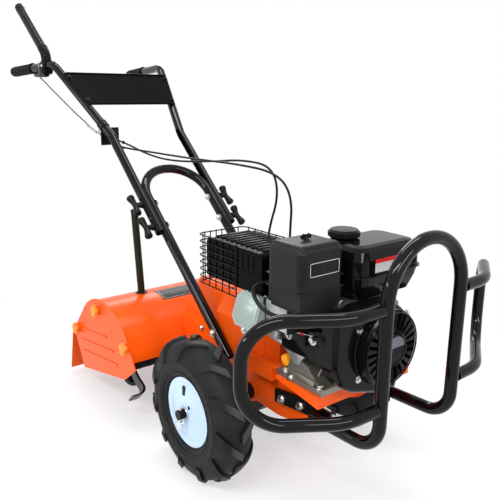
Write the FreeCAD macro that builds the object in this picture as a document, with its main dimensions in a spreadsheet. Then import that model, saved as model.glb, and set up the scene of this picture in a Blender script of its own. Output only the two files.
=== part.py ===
"""Rear tine rotary tiller, modelled as a parametric FreeCAD document.

Axes: +X is forward, +Y is the machine's left, +Z is up. The origin lies on the
ground, at the middle of the overall length and width. Lengths are millimetres.
Every sub-part is drawn with the wheel axle above x = 0, and its Placement then
moves it forward by axle_forward. The driving sizes are cells of the spreadsheet
"Sizes"; every sub-part is an object of the document whose Label is its node
name and file name.
"""
import FreeCAD, Part
import math
import os
import re

import Sketcher
from FreeCAD import Placement, Rotation, Vector

SIZES = [
    # name, value, what it is
    ("axle_forward", 400, "middle of the overall length to the wheel axle"),
    ("tyre_radius", 184, "ground to axle centre, at the lug tips"),
    ("wheel_offset", 252, "machine centre to the middle of a tyre"),
    ("tyre_width", 92, "across the sidewalls"),
    ("lug_height", 8.5, "lug above the tread band"),
    ("lug_width", 21, "lug measured round the tread"),
    ("lug_count", 11, "lugs on each half of a tyre"),
    ("rim_radius", 88, "outer edge of the rim flange"),
    ("rim_width", 76, "across the rim flanges"),
    ("rim_sheet", 3, "pressed steel of the rim"),
    ("hub_radius", 19, "wheel hub tube"),
    ("axle_radius", 12.5, "wheel axle"),
    ("axle_reach", 316, "machine centre to the end of the axle"),
    ("running_gap", 0.3, "between a shaft and what turns on it"),
    ("seat_gap", 0.3, "between curved pieces that rest on each other"),
    ("tine_reach", 470, "axle to the tine shaft, along X"),
    ("tine_height", 152, "ground to the tine shaft"),
    ("tine_tip", 154, "tine shaft to the outside of a tine's blade"),
    ("tine_steel", 7, "thickness of a tine"),
    ("tine_shaft_radius", 15, "tine shaft"),
    ("flange_radius", 52, "plate that carries four tines"),
    ("flange_steel", 8, "thickness of that plate"),
    ("inner_flange", 88, "machine centre to the inner tine flange"),
    ("outer_flange", 208, "machine centre to the outer tine flange"),
    ("hood_radius", 185, "outside of the hood, about the tine shaft"),
    ("hood_half_width", 288, "machine centre to the end of the hood sheet"),
    ("hood_sheet", 2.5, "steel of the hood"),
    ("flap_x", 222, "tine shaft to the flap's hinge rod, along X"),
    ("flap_z", 30, "tine shaft to the flap's hinge rod, upwards"),
    ("flap_drop", 177, "flap below its hinge rod"),
    ("chassis_half_width", 95.8, "machine centre to the outside of a frame rail"),
    ("chassis_sheet", 4, "steel of the frame rails and the engine bed"),
    ("bed_half_width", 152, "machine centre to the edge of the engine bed"),
    ("bed_front", 312, "axle to the front of the engine bed"),
    ("deck_height", 310, "ground to the engine bed"),
    ("plate_top", 362, "ground to the top of the frame rails"),
    ("cover_top", 418, "ground to the top of the drive cover"),
    ("tube_radius", 14.3, "bumper and handle tube"),
    ("tube_wall", 2, "wall of those tubes"),
    ("hoop_half_width", 110.5, "machine centre to a leg of the handle hoop"),
    ("handle_half_width", 128.5, "machine centre to the lower end of a handle tube"),
    ("guard_height_low", 336, "ground to the lower arm of a side guard"),
    ("guard_height_high", 546, "ground to the upper arm of a side guard"),
    ("bumper_x", 454.5, "axle to the bumper legs"),
    ("bumper_half_width", 118.7, "machine centre to a bumper leg"),
    ("bumper_top", 670, "ground to the middle of the bumper's crown"),
    ("crank_height", 98, "engine bed to the crankshaft"),
    ("recoil_radius", 87, "recoil starter cover"),
    ("recoil_front", 387, "axle to the front of the recoil starter"),
    ("lever_radius", 16, "sleeve of the clutch lever"),
    ("neck_half_width", 98.6, "machine centre to the outside of the hood's neck"),
    ("grip_radius", 17, "rubber grip"),
    ("cable_radius", 3, "control cable"),
]

DOC = FreeCAD.newDocument("RotaryTiller")
SHEET = DOC.addObject("Spreadsheet::Sheet", "Sizes")
for row, (name, value, meaning) in enumerate(SIZES, start=1):
    SHEET.set("A%d" % row, name)
    SHEET.set("B%d" % row, str(value))
    SHEET.set("C%d" % row, meaning)
    SHEET.setAlias("B%d" % row, name)
DOC.recompute()
NAMES = {name for name, _, _ in SIZES}


def size(expression):
    """Value of an expression written with the names of the sheet."""
    return float(SHEET.evalExpression(str(expression)))


def bound(expression):
    """The same expression as other objects of the document refer to it."""
    return re.sub(r"[a-z_]+", lambda word: "Sizes." + word[0] if word[0] in NAMES else word[0], str(expression))


PARTS = []


def place(item, x=0, y=0, z=0):
    """Bind the place of a sub-part to the sheet; x is measured from the axle."""
    item.setExpression(".Placement.Base.x", bound("axle_forward + (%s)" % x))
    item.setExpression(".Placement.Base.y", bound(y))
    item.setExpression(".Placement.Base.z", bound(z))


def register(item, name):
    """Give a sub-part its node name, and bring it forward into the machine's own frame."""
    item.Label = name
    place(item)
    PARTS.append(item)
    return item


# ---------------------------------------------------------------- sketching


def body(name):
    """A new PartDesign body that becomes the node of that name."""
    return register(DOC.addObject("PartDesign::Body", name), name)


def datum(owner, role):
    """An origin plane or axis of a body, by its role."""
    return next(item for item in owner.Origin.OriginFeatures if item.Role == role)


def sketch(owner, plane, offset=0):
    """An empty sketch on an origin plane, moved along its normal."""
    result = owner.newObject("Sketcher::SketchObject", owner.Name + "_sketch")
    result.AttachmentSupport = (datum(owner, plane), [""])
    result.MapMode = "FlatFace"
    result.setExpression(".AttachmentOffset.Base.z", bound(offset))
    return result


def hold(target, kind, geometry, point, expression):
    """One distance constraint, bound to the sheet."""
    index = target.addConstraint(Sketcher.Constraint(kind, geometry, point, size(expression)))
    target.setExpression("Constraints[%d]" % index, bound(expression))


def bulge(start, end, radius):
    """The short arc between two corners; a negative radius bends it to the right."""
    middle = (start + end) * 0.5
    along = end - start
    half = along.Length / 2
    rise = math.sqrt(max(radius * radius - half * half, 0))
    across = Vector(-along.y, along.x, 0).normalize() * math.copysign(1, radius)
    centre = middle + across * rise
    crown = centre - across * abs(radius)
    return Part.Arc(start, crown, end)


def outline(owner, plane, corners, offset=0):
    """A closed outline. A corner is (x, y), or (x, y, radius) to leave it on an arc."""
    result = sketch(owner, plane, offset)
    points = [Vector(size(corner[0]), size(corner[1]), 0) for corner in corners]
    ends = []
    for index, corner in enumerate(corners):
        start = points[index]
        end = points[(index + 1) % len(points)]
        if len(corner) == 2:
            result.addGeometry(Part.LineSegment(start, end), False)
            ends.append((1, 2))
        else:
            result.addGeometry(bulge(start, end, size(corner[2])), False)
            ends.append((1, 2) if size(corner[2]) > 0 else (2, 1))
    for index in range(len(corners)):
        after = (index + 1) % len(corners)
        result.addConstraint(Sketcher.Constraint("Coincident", index, ends[index][1], after, ends[after][0]))
    for index, corner in enumerate(corners):
        hold(result, "DistanceX", index, ends[index][0], corner[0])
        hold(result, "DistanceY", index, ends[index][0], corner[1])
        if len(corner) == 3:
            radius = "abs(%s)" % corner[2]
            number = result.addConstraint(Sketcher.Constraint("Radius", index, size(radius)))
            result.setExpression("Constraints[%d]" % number, bound(radius))
    return result


def rings(owner, plane, circles, offset=0):
    """A sketch of full circles, each (x, y, radius)."""
    result = sketch(owner, plane, offset)
    for x, y, radius in circles:
        centre = Vector(size(x), size(y), 0)
        index = result.addGeometry(Part.Circle(centre, Vector(0, 0, 1), size(radius)), False)
        hold(result, "DistanceX", index, 3, x)
        hold(result, "DistanceY", index, 3, y)
        number = result.addConstraint(Sketcher.Constraint("Radius", index, size(radius)))
        result.setExpression("Constraints[%d]" % number, bound(radius))
    return result


def box_corners(left, right, low, high):
    """Corners of an upright rectangle."""
    return [(left, low), (right, low), (right, high), (left, high)]


def pad(owner, profile, length, both_ways=False, reverse=False):
    """Thicken a sketch into the body."""
    result = owner.newObject("PartDesign::Pad", owner.Name + "_pad")
    result.Profile = profile
    result.setExpression("Length", bound(length))
    result.SideType = "Symmetric" if both_ways else "One side"
    result.Reversed = reverse
    DOC.recompute()
    return result


def pocket(owner, profile, length, both_ways=False, reverse=False):
    """Cut a sketch out of the body, and make sure that it did cut."""
    before = owner.Shape.Volume
    result = owner.newObject("PartDesign::Pocket", owner.Name + "_pocket")
    result.Profile = profile
    result.setExpression("Length", bound(length))
    result.SideType = "Symmetric" if both_ways else "One side"
    result.Reversed = reverse
    DOC.recompute()
    if owner.Shape.Volume >= before:
        raise ValueError("a pocket of %s cuts nothing" % owner.Label)
    return result


def revolve(owner, profile, axis):
    """Turn a sketch about an origin axis of its body."""
    result = owner.newObject("PartDesign::Revolution", owner.Name + "_turn")
    result.Profile = profile
    result.ReferenceAxis = (datum(owner, axis), [""])
    result.Angle = 360
    DOC.recompute()
    return result


def groove(owner, profile, axis):
    """Turn a cut about an origin axis of the body, and make sure that it did cut."""
    before = owner.Shape.Volume
    result = owner.newObject("PartDesign::Groove", owner.Name + "_groove")
    result.Profile = profile
    result.ReferenceAxis = (datum(owner, axis), [""])
    result.Angle = 360
    DOC.recompute()
    if owner.Shape.Volume >= before:
        raise ValueError("a groove of %s cuts nothing" % owner.Label)
    return result


def polar(owner, features, axis, count):
    """Repeat features round an origin axis."""
    result = owner.newObject("PartDesign::PolarPattern", owner.Name + "_polar")
    result.Originals = features
    result.Axis = (datum(owner, axis), [""])
    result.Angle = 360
    result.setExpression("Occurrences", bound(count))
    owner.Tip = result
    DOC.recompute()
    return result


def round_edges(owner, radius, keep):
    """Fillet the edges of the body's tip that the test keeps."""
    tip = owner.Tip
    names = ["Edge%d" % (number + 1) for number, edge in enumerate(tip.Shape.Edges) if keep(edge)]
    result = owner.newObject("PartDesign::Fillet", owner.Name + "_round")
    result.Base = (tip, names)
    result.setExpression("Radius", bound(radius))
    DOC.recompute()
    return result


def runs_along(direction):
    """An edge test: straight, and parallel to a direction."""
    def test(edge):
        if edge.Curve.TypeId != "Part::GeomLine":
            return False
        return abs(abs(edge.tangentAt(edge.FirstParameter).dot(Vector(*direction))) - 1) < 1e-6
    return test


# ------------------------------------------------------------------- shapes


def feature(name, shape):
    """A sub-part whose shape is made with Part's own functions."""
    item = DOC.addObject("Part::Feature", name)
    item.Shape = shape
    return register(item, name)


def rod(start, end, radius):
    """A round bar between two points."""
    along = end - start
    return Part.makeCylinder(radius, along.Length, start, along)


def joined(shapes):
    """One shape out of several that meet."""
    result = shapes[0]
    if len(shapes) > 1:
        result = result.multiFuse(shapes[1:])
    return result.removeSplitter()


def path(points, radii):
    """Straight runs joined by tangent arcs, as bent tube is."""
    edges = []
    last = points[0]
    for before, corner, after, radius in zip(points, points[1:], points[2:], radii):
        inward = (before - corner).normalize()
        outward = (after - corner).normalize()
        half = inward.getAngle(outward) / 2
        back = radius / math.tan(half)
        begin = corner + inward * back
        finish = corner + outward * back
        centre = corner + (inward + outward).normalize() * (radius / math.sin(half))
        crown = centre + (corner - centre).normalize() * radius
        if (begin - last).Length > 1e-6:
            edges.append(Part.LineSegment(last, begin).toShape())
        edges.append(Part.Arc(begin, crown, finish).toShape())
        last = finish
    if (points[-1] - last).Length > 1e-6:
        edges.append(Part.LineSegment(last, points[-1]).toShape())
    return Part.Wire(edges)


def swept(wire, radius):
    """A round bar along a path."""
    start = wire.OrderedEdges[0]
    centre = start.valueAt(start.FirstParameter)
    along = start.tangentAt(start.FirstParameter)
    circle = Part.Wire(Part.Circle(centre, along, radius).toShape())
    return wire.makePipeShell([circle], True, False)


def tube(points, radii, radius, wall):
    """A bent tube, open at both ends."""
    wire = path(points, radii)
    return swept(wire, radius).cut(swept(wire, radius - wall))


def mirrored(points, side):
    """The same points on the machine's right (-1) or left (+1)."""
    return [Vector(point[0], side * point[1], point[2]) for point in points]


SIDES = (("right", -1), ("left", 1))


# ------------------------------------------------------------------- wheels


def lug(owner, row, turn):
    """One slanting lug at the top of the tyre, turned about the axle by an angle in degrees."""
    slant = "(tyre_width / 2 + 8)"
    corners = [
        ("%s / 2 + lug_width / 2" % slant, "%d * -3" % row),
        ("0 - %s / 2 + lug_width / 2" % slant, "%d * %s" % (row, slant)),
        ("0 - %s / 2 - lug_width / 2" % slant, "%d * %s" % (row, slant)),
        ("%s / 2 - lug_width / 2" % slant, "%d * -3" % row),
    ]
    if row < 0:
        corners.reverse()
    block = outline(owner, "XY_Plane", corners)
    height = "(tyre_radius - 50)"
    block.AttachmentOffset = Placement(Vector(), Rotation(Vector(0, 1, 0), size(turn)))
    block.setExpression(".AttachmentOffset.Base.x", bound("%s * %r" % (height, math.sin(math.radians(size(turn))))))
    block.setExpression(".AttachmentOffset.Base.z", bound("%s * %r" % (height, math.cos(math.radians(size(turn))))))
    return pad(owner, block, "52")


def tyre(name, side):
    """A lugged tyre: an open carcass turned about the axle, with two rows of slanting lugs."""
    owner = body(name)
    tread = "(tyre_radius - lug_height)"
    half = "(tyre_width / 2)"
    bead = "(rim_width / 2 - rim_sheet - seat_gap)"
    seat = "rim_radius - 12 + seat_gap"
    carcass = [
        ("0 - %s" % bead, seat),
        ("0 - %s" % bead, "rim_radius + 1"),
        ("0 - %s + 4" % half, "rim_radius + 6", "0 - 70"),
        ("0 - %s + 5" % half, "%s - 20" % tread, "0 - 28"),
        ("0 - %s + 24" % half, "%s - 3" % tread, "0 - 110"),
        ("%s - 24" % half, "%s - 3" % tread, "0 - 28"),
        ("%s - 5" % half, "%s - 20" % tread, "0 - 70"),
        ("%s - 4" % half, "rim_radius + 6"),
        (bead, "rim_radius + 1"),
        (bead, seat),
        ("rim_width / 2 - 13", seat),
        ("%s - 12" % half, "rim_radius + 26"),
        ("0 - %s + 12" % half, "rim_radius + 26"),
        ("0 - rim_width / 2 + 13", seat),
    ]
    revolve(owner, outline(owner, "YZ_Plane", carcass), "Y_Axis")
    outer = lug(owner, side, "0")
    inner = lug(owner, -side, "180 / lug_count")
    polar(owner, [outer, inner], "Y_Axis", "lug_count")
    beyond = [
        ("0 - tyre_width", "rim_radius + 48"),
        ("0 - %s - 7" % half, "rim_radius + 48"),
        ("0 - %s - 2" % half, "tyre_radius - 28", "0 - 36"),
        ("0 - %s + 16" % half, "tyre_radius - 6", "0 - 78"),
        ("%s - 16" % half, "tyre_radius - 6", "0 - 36"),
        ("%s + 2" % half, "tyre_radius - 28"),
        ("%s + 7" % half, "rim_radius + 48"),
        ("tyre_width", "rim_radius + 48"),
        ("tyre_width", "tyre_radius + 30"),
        ("0 - tyre_width", "tyre_radius + 30"),
    ]
    groove(owner, outline(owner, "YZ_Plane", beyond), "Y_Axis")
    place(owner, 0, "%d * wheel_offset" % side, "tyre_radius")


def rim(name, side):
    """A pressed rim with its disc near the outer flange, a hub tube, a vent slot and a valve hole."""
    owner = body(name)
    edge = "(rim_width / 2)"
    dish = [("hub_radius", 17), ("33", 17), ("52", 10)]
    profile = [("%d * (%s - %d - rim_sheet)" % (side, edge, depth), radius) for radius, depth in dish]
    profile += [
        ("%d * (%s - 5 - rim_sheet)" % (side, edge), "rim_radius - 12 - rim_sheet"),
        ("%d * (0 - %s)" % (side, edge), "rim_radius - 12 - rim_sheet"),
        ("%d * (0 - %s)" % (side, edge), "rim_radius"),
        ("%d * (rim_sheet - %s)" % (side, edge), "rim_radius"),
        ("%d * (rim_sheet - %s)" % (side, edge), "rim_radius - 12"),
        ("%d * (%s - rim_sheet)" % (side, edge), "rim_radius - 12"),
        ("%d * (%s - rim_sheet)" % (side, edge), "rim_radius"),
        ("%d * %s" % (side, edge), "rim_radius"),
        ("%d * %s" % (side, edge), "rim_radius - 6"),
        ("%d * (%s - 2)" % (side, edge), "rim_radius - 14"),
    ]
    profile += [("%d * (%s - %d)" % (side, edge, depth), radius) for radius, depth in reversed(dish)]
    revolve(owner, outline(owner, "YZ_Plane", profile), "Y_Axis")
    hub = [
        ("%d * (0 - %s)" % (side, edge), "axle_radius + running_gap"),
        ("%d * (0 - %s)" % (side, edge), "hub_radius"),
        ("%d * (%s + 8)" % (side, edge), "hub_radius"),
        ("%d * (%s + 8)" % (side, edge), "axle_radius + running_gap"),
    ]
    revolve(owner, outline(owner, "YZ_Plane", hub), "Y_Axis")
    pocket(owner, rings(owner, "XZ_Plane", [("22", "18", "3.5")]), "rim_width * 2", both_ways=True)
    slot = [("0 - 11", "46", "7.5"), ("3", "46"), ("3", "64", "7.5"), ("0 - 11", "64")]
    pocket(owner, outline(owner, "XZ_Plane", slot), "rim_width * 2", both_ways=True)
    place(owner, 0, "%d * wheel_offset" % side, "tyre_radius")


def axle_and_pins():
    """The axle through both hubs, and the pins that keep the wheels on it."""
    owner = body("wheel_axle")
    ends = rings(owner, "XZ_Plane", [("0", "0", "axle_radius")])
    pad(owner, ends, "axle_reach * 2", both_ways=True)
    holes = rings(owner, "XY_Plane", [("0", "%d * (axle_reach - 7)" % side, "3.8") for _, side in SIDES])
    pocket(owner, holes, "axle_radius * 3", both_ways=True)
    place(owner, 0, 0, "tyre_radius")
    pins = []
    for _, side in SIDES:
        y = side * (size("axle_reach") - 7)
        middle = Vector(0, y, size("tyre_radius"))
        reach = size("axle_radius")
        pin = rod(middle + Vector(0, 0, reach + 6), middle - Vector(0, 0, reach + 22), 3.5)
        head = rod(middle - Vector(0, 4, reach + 14), middle - Vector(0, -4, reach + 14), 9)
        pins.append(joined([pin, head]))
    feature("lynch_pins", Part.Compound(pins))


# -------------------------------------------------------------- tine rotor


TINE_LEAD = 24
TINE_TRAIL = 60


def tine(flange, outward, wide, angle):
    """A hooked tine: its shank lies on the flange, and its blade sweeps back and turns to one side."""
    steel = size("tine_steel")
    tip = size("tine_tip")
    face = flange + outward * size("flange_steel") / 2
    bend = 44
    base = 30

    def at(across, radial):
        return Vector(0, face + outward * across, radial)

    outer = bend - bend * math.sqrt(0.5)
    inner = (bend - steel) * (1 - math.sqrt(0.5))
    edges = [
        Part.LineSegment(at(0, base), at(0, tip - bend)).toShape(),
        Part.Arc(at(0, tip - bend), at(outer, tip - outer), at(bend, tip)).toShape(),
        Part.LineSegment(at(bend, tip), at(wide, tip)).toShape(),
        Part.LineSegment(at(wide, tip), at(wide, tip - steel)).toShape(),
        Part.LineSegment(at(wide, tip - steel), at(bend, tip - steel)).toShape(),
        Part.Arc(at(bend, tip - steel), at(steel + inner, tip - steel - inner), at(steel, tip - bend)).toShape(),
        Part.LineSegment(at(steel, tip - bend), at(steel, base)).toShape(),
        Part.LineSegment(at(steel, base), at(0, base)).toShape(),
    ]
    plate = Part.Face(Part.Wire(edges)).extrude(Vector(160, 0, 0))
    plate.translate(Vector(-80, 0, 0))
    foot = Vector(15, 0, base)
    heel = Vector(-15, 0, base)
    lead_end = Vector(-TINE_LEAD, 0, tip)
    trail_end = Vector(-TINE_TRAIL, 0, tip)
    sickle = Part.Face(Part.Wire([
        Part.Arc(foot, Vector(14, 0, tip * 0.68), lead_end).toShape(),
        Part.LineSegment(lead_end, trail_end).toShape(),
        Part.Arc(trail_end, Vector(-19, 0, tip * 0.66), heel).toShape(),
        Part.LineSegment(heel, foot).toShape(),
    ]))
    sickle.translate(Vector(0, face - 120, 0))
    blade = plate.common(sickle.extrude(Vector(0, 240, 0)))
    blade.rotate(Vector(), Vector(0, 1, 0), angle)
    return blade


def resting_angles():
    """Two angles at which a tine just touches the ground, with its leading and with its trailing corner."""
    height = size("tine_height")
    angles = []
    for sweep, sign in ((TINE_LEAD, -1), (TINE_TRAIL, 1)):
        corner = math.hypot(sweep, size("tine_tip"))
        angles.append(math.degrees(math.atan2(sweep, size("tine_tip")) + sign * math.acos(min(height / corner, 1))))
    return angles


def tine_rotor():
    """The tine shaft with its four flanges, and the sixteen tines in two groups."""
    owner = body("tine_shaft")
    pad(owner, rings(owner, "XZ_Plane", [("0", "0", "tine_shaft_radius")]), "outer_flange * 2 + 40", both_ways=True)
    for place_name in ("inner_flange", "outer_flange"):
        for _, side in SIDES:
            disc = rings(owner, "XZ_Plane", [("0", "0", "flange_radius")], "%d * %s" % (-side, place_name))
            pad(owner, disc, "flange_steel", both_ways=True)
    place(owner, "0 - tine_reach", 0, "tine_height")
    lead, trail = resting_angles()
    for name, side in SIDES:
        blades = []
        for flange, phase, widths in (("inner_flange", lead, (54, 50)), ("outer_flange", trail, (62, 60))):
            for quarter in range(4):
                outward = side if (quarter + (flange == "outer_flange")) % 2 == 0 else -side
                wide = widths[0] if outward == side else widths[1]
                blades.append(tine(side * size(flange), outward, wide, phase + 90 * quarter))
        place(feature("tines_" + name, Part.Compound(blades)), "0 - tine_reach", 0, "tine_height")


# ---------------------------------------------------------- hood and chassis


def on_hood(angle, radius="hood_radius"):
    """A corner on a circle about the tine shaft, at an angle above forward."""
    return ("0 - tine_reach + (%s) * cos(%s deg)" % (radius, angle), "tine_height + (%s) * sin(%s deg)" % (radius, angle))


def hood():
    """The rolled hood sheet, its two end plates with pressed ribs, and the knobs that hold them."""
    owner = body("hood_skin")
    front, middle, rear = 16, 80, 143
    inner = "(hood_radius - hood_sheet)"
    heel_x = "0 - tine_reach - 207"
    heel_z = "tine_height + 24"
    corners = [
        on_hood(front) + ("hood_radius",),
        on_hood(middle) + ("hood_radius",),
        on_hood(rear),
        (heel_x, heel_z),
        (heel_x + " + hood_sheet", heel_z),
        on_hood(rear, inner) + ("0 - %s" % inner,),
        on_hood(middle, inner) + ("0 - %s" % inner,),
        on_hood(front, inner),
    ]
    pad(owner, outline(owner, "XZ_Plane", corners), "hood_half_width * 2", both_ways=True)
    notch = outline(owner, "XZ_Plane", box_corners("0 - tine_reach + 120", "0 - tine_reach + hood_radius + 10",
                                                   "tine_height", "tine_height + 96"))
    pocket(owner, notch, "60", both_ways=True)
    knobs = []
    for name, side in SIDES:
        plate = body("hood_end_" + name)
        edge = "(hood_radius + 4)"
        corners = [
            ("0 - tine_reach + 203", "tine_height + 40"),
            on_hood(38, "hood_radius + 8") + (edge,),
            on_hood(92, edge) + (edge,),
            on_hood(143, edge),
            ("0 - tine_reach - flap_x", "tine_height + flap_z + 9"),
            ("0 - tine_reach - flap_x", "tine_height + flap_z - 9"),
            ("0 - tine_reach - 161", "68"),
            ("0 - tine_reach + 133", "138"),
        ]
        face = "hood_half_width"
        profile = outline(plate, "XZ_Plane", corners, "%d * %s" % (-side, face))
        pad(plate, profile, "hood_sheet", reverse=(side > 0))
        ear = rings(plate, "XZ_Plane", [("0 - tine_reach - flap_x", "tine_height + flap_z", "11")],
                    "%d * %s" % (-side, face))
        pad(plate, ear, "hood_sheet", reverse=(side > 0))
        for foot_x, foot_z, length in ((-178, 196, 200), (-170, 160, 235), (-160, 124, 250)):
            rib = outline(plate, "XZ_Plane", [
                ("0 - tine_reach + %d" % foot_x, str(foot_z)),
                ("0 - tine_reach + %d" % (foot_x + length), "%d + %d * 0.16" % (foot_z, length)),
                ("0 - tine_reach + %d" % (foot_x + length), "%d + %d * 0.16 + 7" % (foot_z, length)),
                ("0 - tine_reach + %d" % foot_x, "%d + 7" % foot_z),
            ], "%d * (%s + hood_sheet)" % (-side, face))
            pad(plate, rib, "3", reverse=(side > 0))
        for angle, radius in ((30.6, 177), (102, 153), (167, 196)):
            knobs.append(star_knob(hood_point(angle, radius, side), side, 19, 16))
    feature("hood_knobs", Part.Compound(knobs))


def hood_point(angle, radius, side):
    """A point on the outside of an end plate, by its angle about the tine shaft."""
    turn = math.radians(angle)
    return Vector(radius * math.cos(turn) - size("tine_reach"), side * size("hood_half_width + hood_sheet"),
                  radius * math.sin(turn) + size("tine_height"))


def star_knob(seat, side, radius, depth):
    """A five-lobed knob on a short neck, standing out to one side."""
    out = Vector(0, side, 0)
    neck = rod(seat, seat + out * 6, radius * 0.45)
    core = rod(seat + out * 6, seat + out * depth, radius * 0.72)
    lobes = []
    for lobe in range(5):
        turn = math.radians(72 * lobe + 90)
        spot = seat + Vector(math.cos(turn), 0, math.sin(turn)) * (radius * 0.72)
        lobes.append(rod(spot + out * 6, spot + out * depth, radius * 0.28))
    return joined([neck, core] + lobes)


def rear_flap():
    """The folded flap that hangs from a rod along the rear edge of the hood."""
    pivot = Vector(-size("tine_reach + flap_x"), 0, size("tine_height + flap_z"))
    half = size("hood_half_width")
    feature("flap_rod", rod(pivot - Vector(0, half, 0), pivot + Vector(0, half, 0), 4))
    width = half - 6
    knuckle = rod(pivot - Vector(0, width, 0), pivot + Vector(0, width, 0), 7)
    drop = size("flap_drop")
    profile = [(0, 7), (-38, 7), (-81, 7 - drop), (-78.5, 7 - drop), (-36, 4.5), (0, 4.5)]
    corners = [pivot + Vector(x, -width, z) for x, z in profile]
    sheet = Part.Face(Part.makePolygon(corners + corners[:1])).extrude(Vector(0, 2 * width, 0))
    bore = rod(pivot - Vector(0, half, 0), pivot + Vector(0, half, 0), 4 + size("running_gap"))
    feature("rear_flap", joined([knuckle, sheet]).cut(bore))


def chassis():
    """The frame rails, the engine bed, the drive cover and the gear cases."""
    wall = "chassis_half_width"
    hood_edge = "(hood_radius + seat_gap)"
    for name, side in SIDES:
        plate = body("side_plate_" + name)
        corners = [
            on_hood(20, hood_edge),
            ("0 - 170", "tyre_radius - 54"),
            ("0 - 40", "tyre_radius - 54"),
            ("30", "tyre_radius - 18"),
            ("110", "164") + ("210",),
            ("214", "196"),
            ("246", "226"),
            ("252", "deck_height - chassis_sheet"),
            ("60", "deck_height - chassis_sheet"),
            ("60", "plate_top"),
            ("0 - 150", "plate_top"),
            ("0 - 150", "288"),
            on_hood(46.5, hood_edge) + ("0 - %s" % hood_edge,),
        ]
        profile = outline(plate, "XZ_Plane", corners, "%d * (%s - chassis_sheet)" % (-side, wall))
        pad(plate, profile, "chassis_sheet", reverse=(side > 0))
        step = box_corners("34", "121", "266", "deck_height - chassis_sheet - seat_gap")
        pad(plate, outline(plate, "XZ_Plane", step, "%d * %s" % (-side, wall)), "29", reverse=(side > 0))
        hole = rings(plate, "XZ_Plane", [("0", "tyre_radius", "axle_radius + seat_gap")])
        pocket(plate, hole, "%s * 2.5" % wall, both_ways=True)
    engine_bed()
    drive_cover()
    hood_neck()
    gear_cases()


def engine_bed():
    """The pressed bed under the engine, with a lip all round and two deep skirts."""
    bed = body("engine_bed")
    half = "bed_half_width"
    rear = "61"
    narrow = "125"
    top = outline(bed, "XY_Plane", [(rear, "0 - %s" % narrow), ("168", "0 - %s" % narrow), ("172", "0 - %s" % half),
                                    ("bed_front", "0 - %s" % half), ("bed_front", half), ("172", half),
                                    ("168", narrow), (rear, narrow)], "deck_height - chassis_sheet")
    pad(bed, top, "chassis_sheet")
    lip = outline(bed, "XY_Plane", [("bed_front - chassis_sheet", "0 - %s" % half), ("bed_front", "0 - %s" % half),
                                    ("bed_front", half), ("bed_front - chassis_sheet", half)], "deck_height - 28")
    pad(bed, lip, "28")
    for _, side in SIDES:
        edge = [("172", "deck_height - 8"), ("bed_front", "deck_height - 28"), ("bed_front", "deck_height"),
                ("172", "deck_height")]
        pad(bed, outline(bed, "XZ_Plane", edge, "%d * (%s - chassis_sheet)" % (-side, half)), "chassis_sheet",
            reverse=(side > 0))


def drive_cover():
    """The folded cover over the drive, with a ridge along its top and a closed box behind the engine."""
    cover = body("drive_cover")
    wall = "chassis_half_width"
    wide = wall
    section = [("0 - %s" % wall, "plate_top"), (wall, "plate_top"), ("60", "cover_top"), ("0 - 60", "cover_top")]
    pad(cover, outline(cover, "YZ_Plane", section, "0 - 150"), "150 + 118")
    box = outline(cover, "YZ_Plane", [("0 - %s" % wide, "deck_height"), (wide, "deck_height"), (wide, "plate_top"),
                                      ("0 - %s" % wide, "plate_top")], "61")
    pad(cover, box, "57")
    sheet = "3"
    hollow = [("0 - %s + 6" % wall, "plate_top - 1"), ("%s - 6" % wall, "plate_top - 1"),
              ("60 - 2", "cover_top - %s" % sheet), ("0 - 60 + 2", "cover_top - %s" % sheet)]
    pocket(cover, outline(cover, "YZ_Plane", hollow, "0 - 147"), "147 + 115", reverse=True)
    inside = [("0 - %s + 3" % wide, "deck_height - 1"), ("%s - 3" % wide, "deck_height - 1"),
              ("%s - 3" % wide, "plate_top - 3"), ("0 - %s + 3" % wide, "plate_top - 3")]
    pocket(cover, outline(cover, "YZ_Plane", inside, "60"), "55", reverse=True)


def hood_neck():
    """The pressed neck that carries the hood's top forward to the drive cover, open below."""
    half = size("neck_half_width")
    sheet = size("hood_sheet")
    crest = size("cover_top") + sheet
    front = -150 - size("seat_gap")

    def section(x, thin, shoulder, top, ridge):
        side = half - thin
        corners = [(-side, 262 - 4 * thin), (-side, shoulder - thin / 2), (-ridge + thin, top - thin),
                   (ridge - thin, top - thin), (side, shoulder - thin / 2), (side, 262 - 4 * thin)]
        points = [Vector(x, y, z) for y, z in corners]
        return Part.makePolygon(points + points[:1])

    def skin(thin, reach):
        return Part.makeLoft([section(front + reach, thin, 296, crest, 60), section(-285, thin, 296, crest, 60),
                              section(-356 - reach, thin, 288, 298, 72)], True, True)

    shaft = Vector(-size("tine_reach"), 0, size("tine_height"))
    span = Vector(0, size("hood_half_width"), 0)
    drum = rod(shaft - span, shaft + span, size("hood_radius") + size("seat_gap"))
    feature("hood_neck", skin(0, 0).cut(skin(sheet, 1)).cut(drum))


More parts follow.
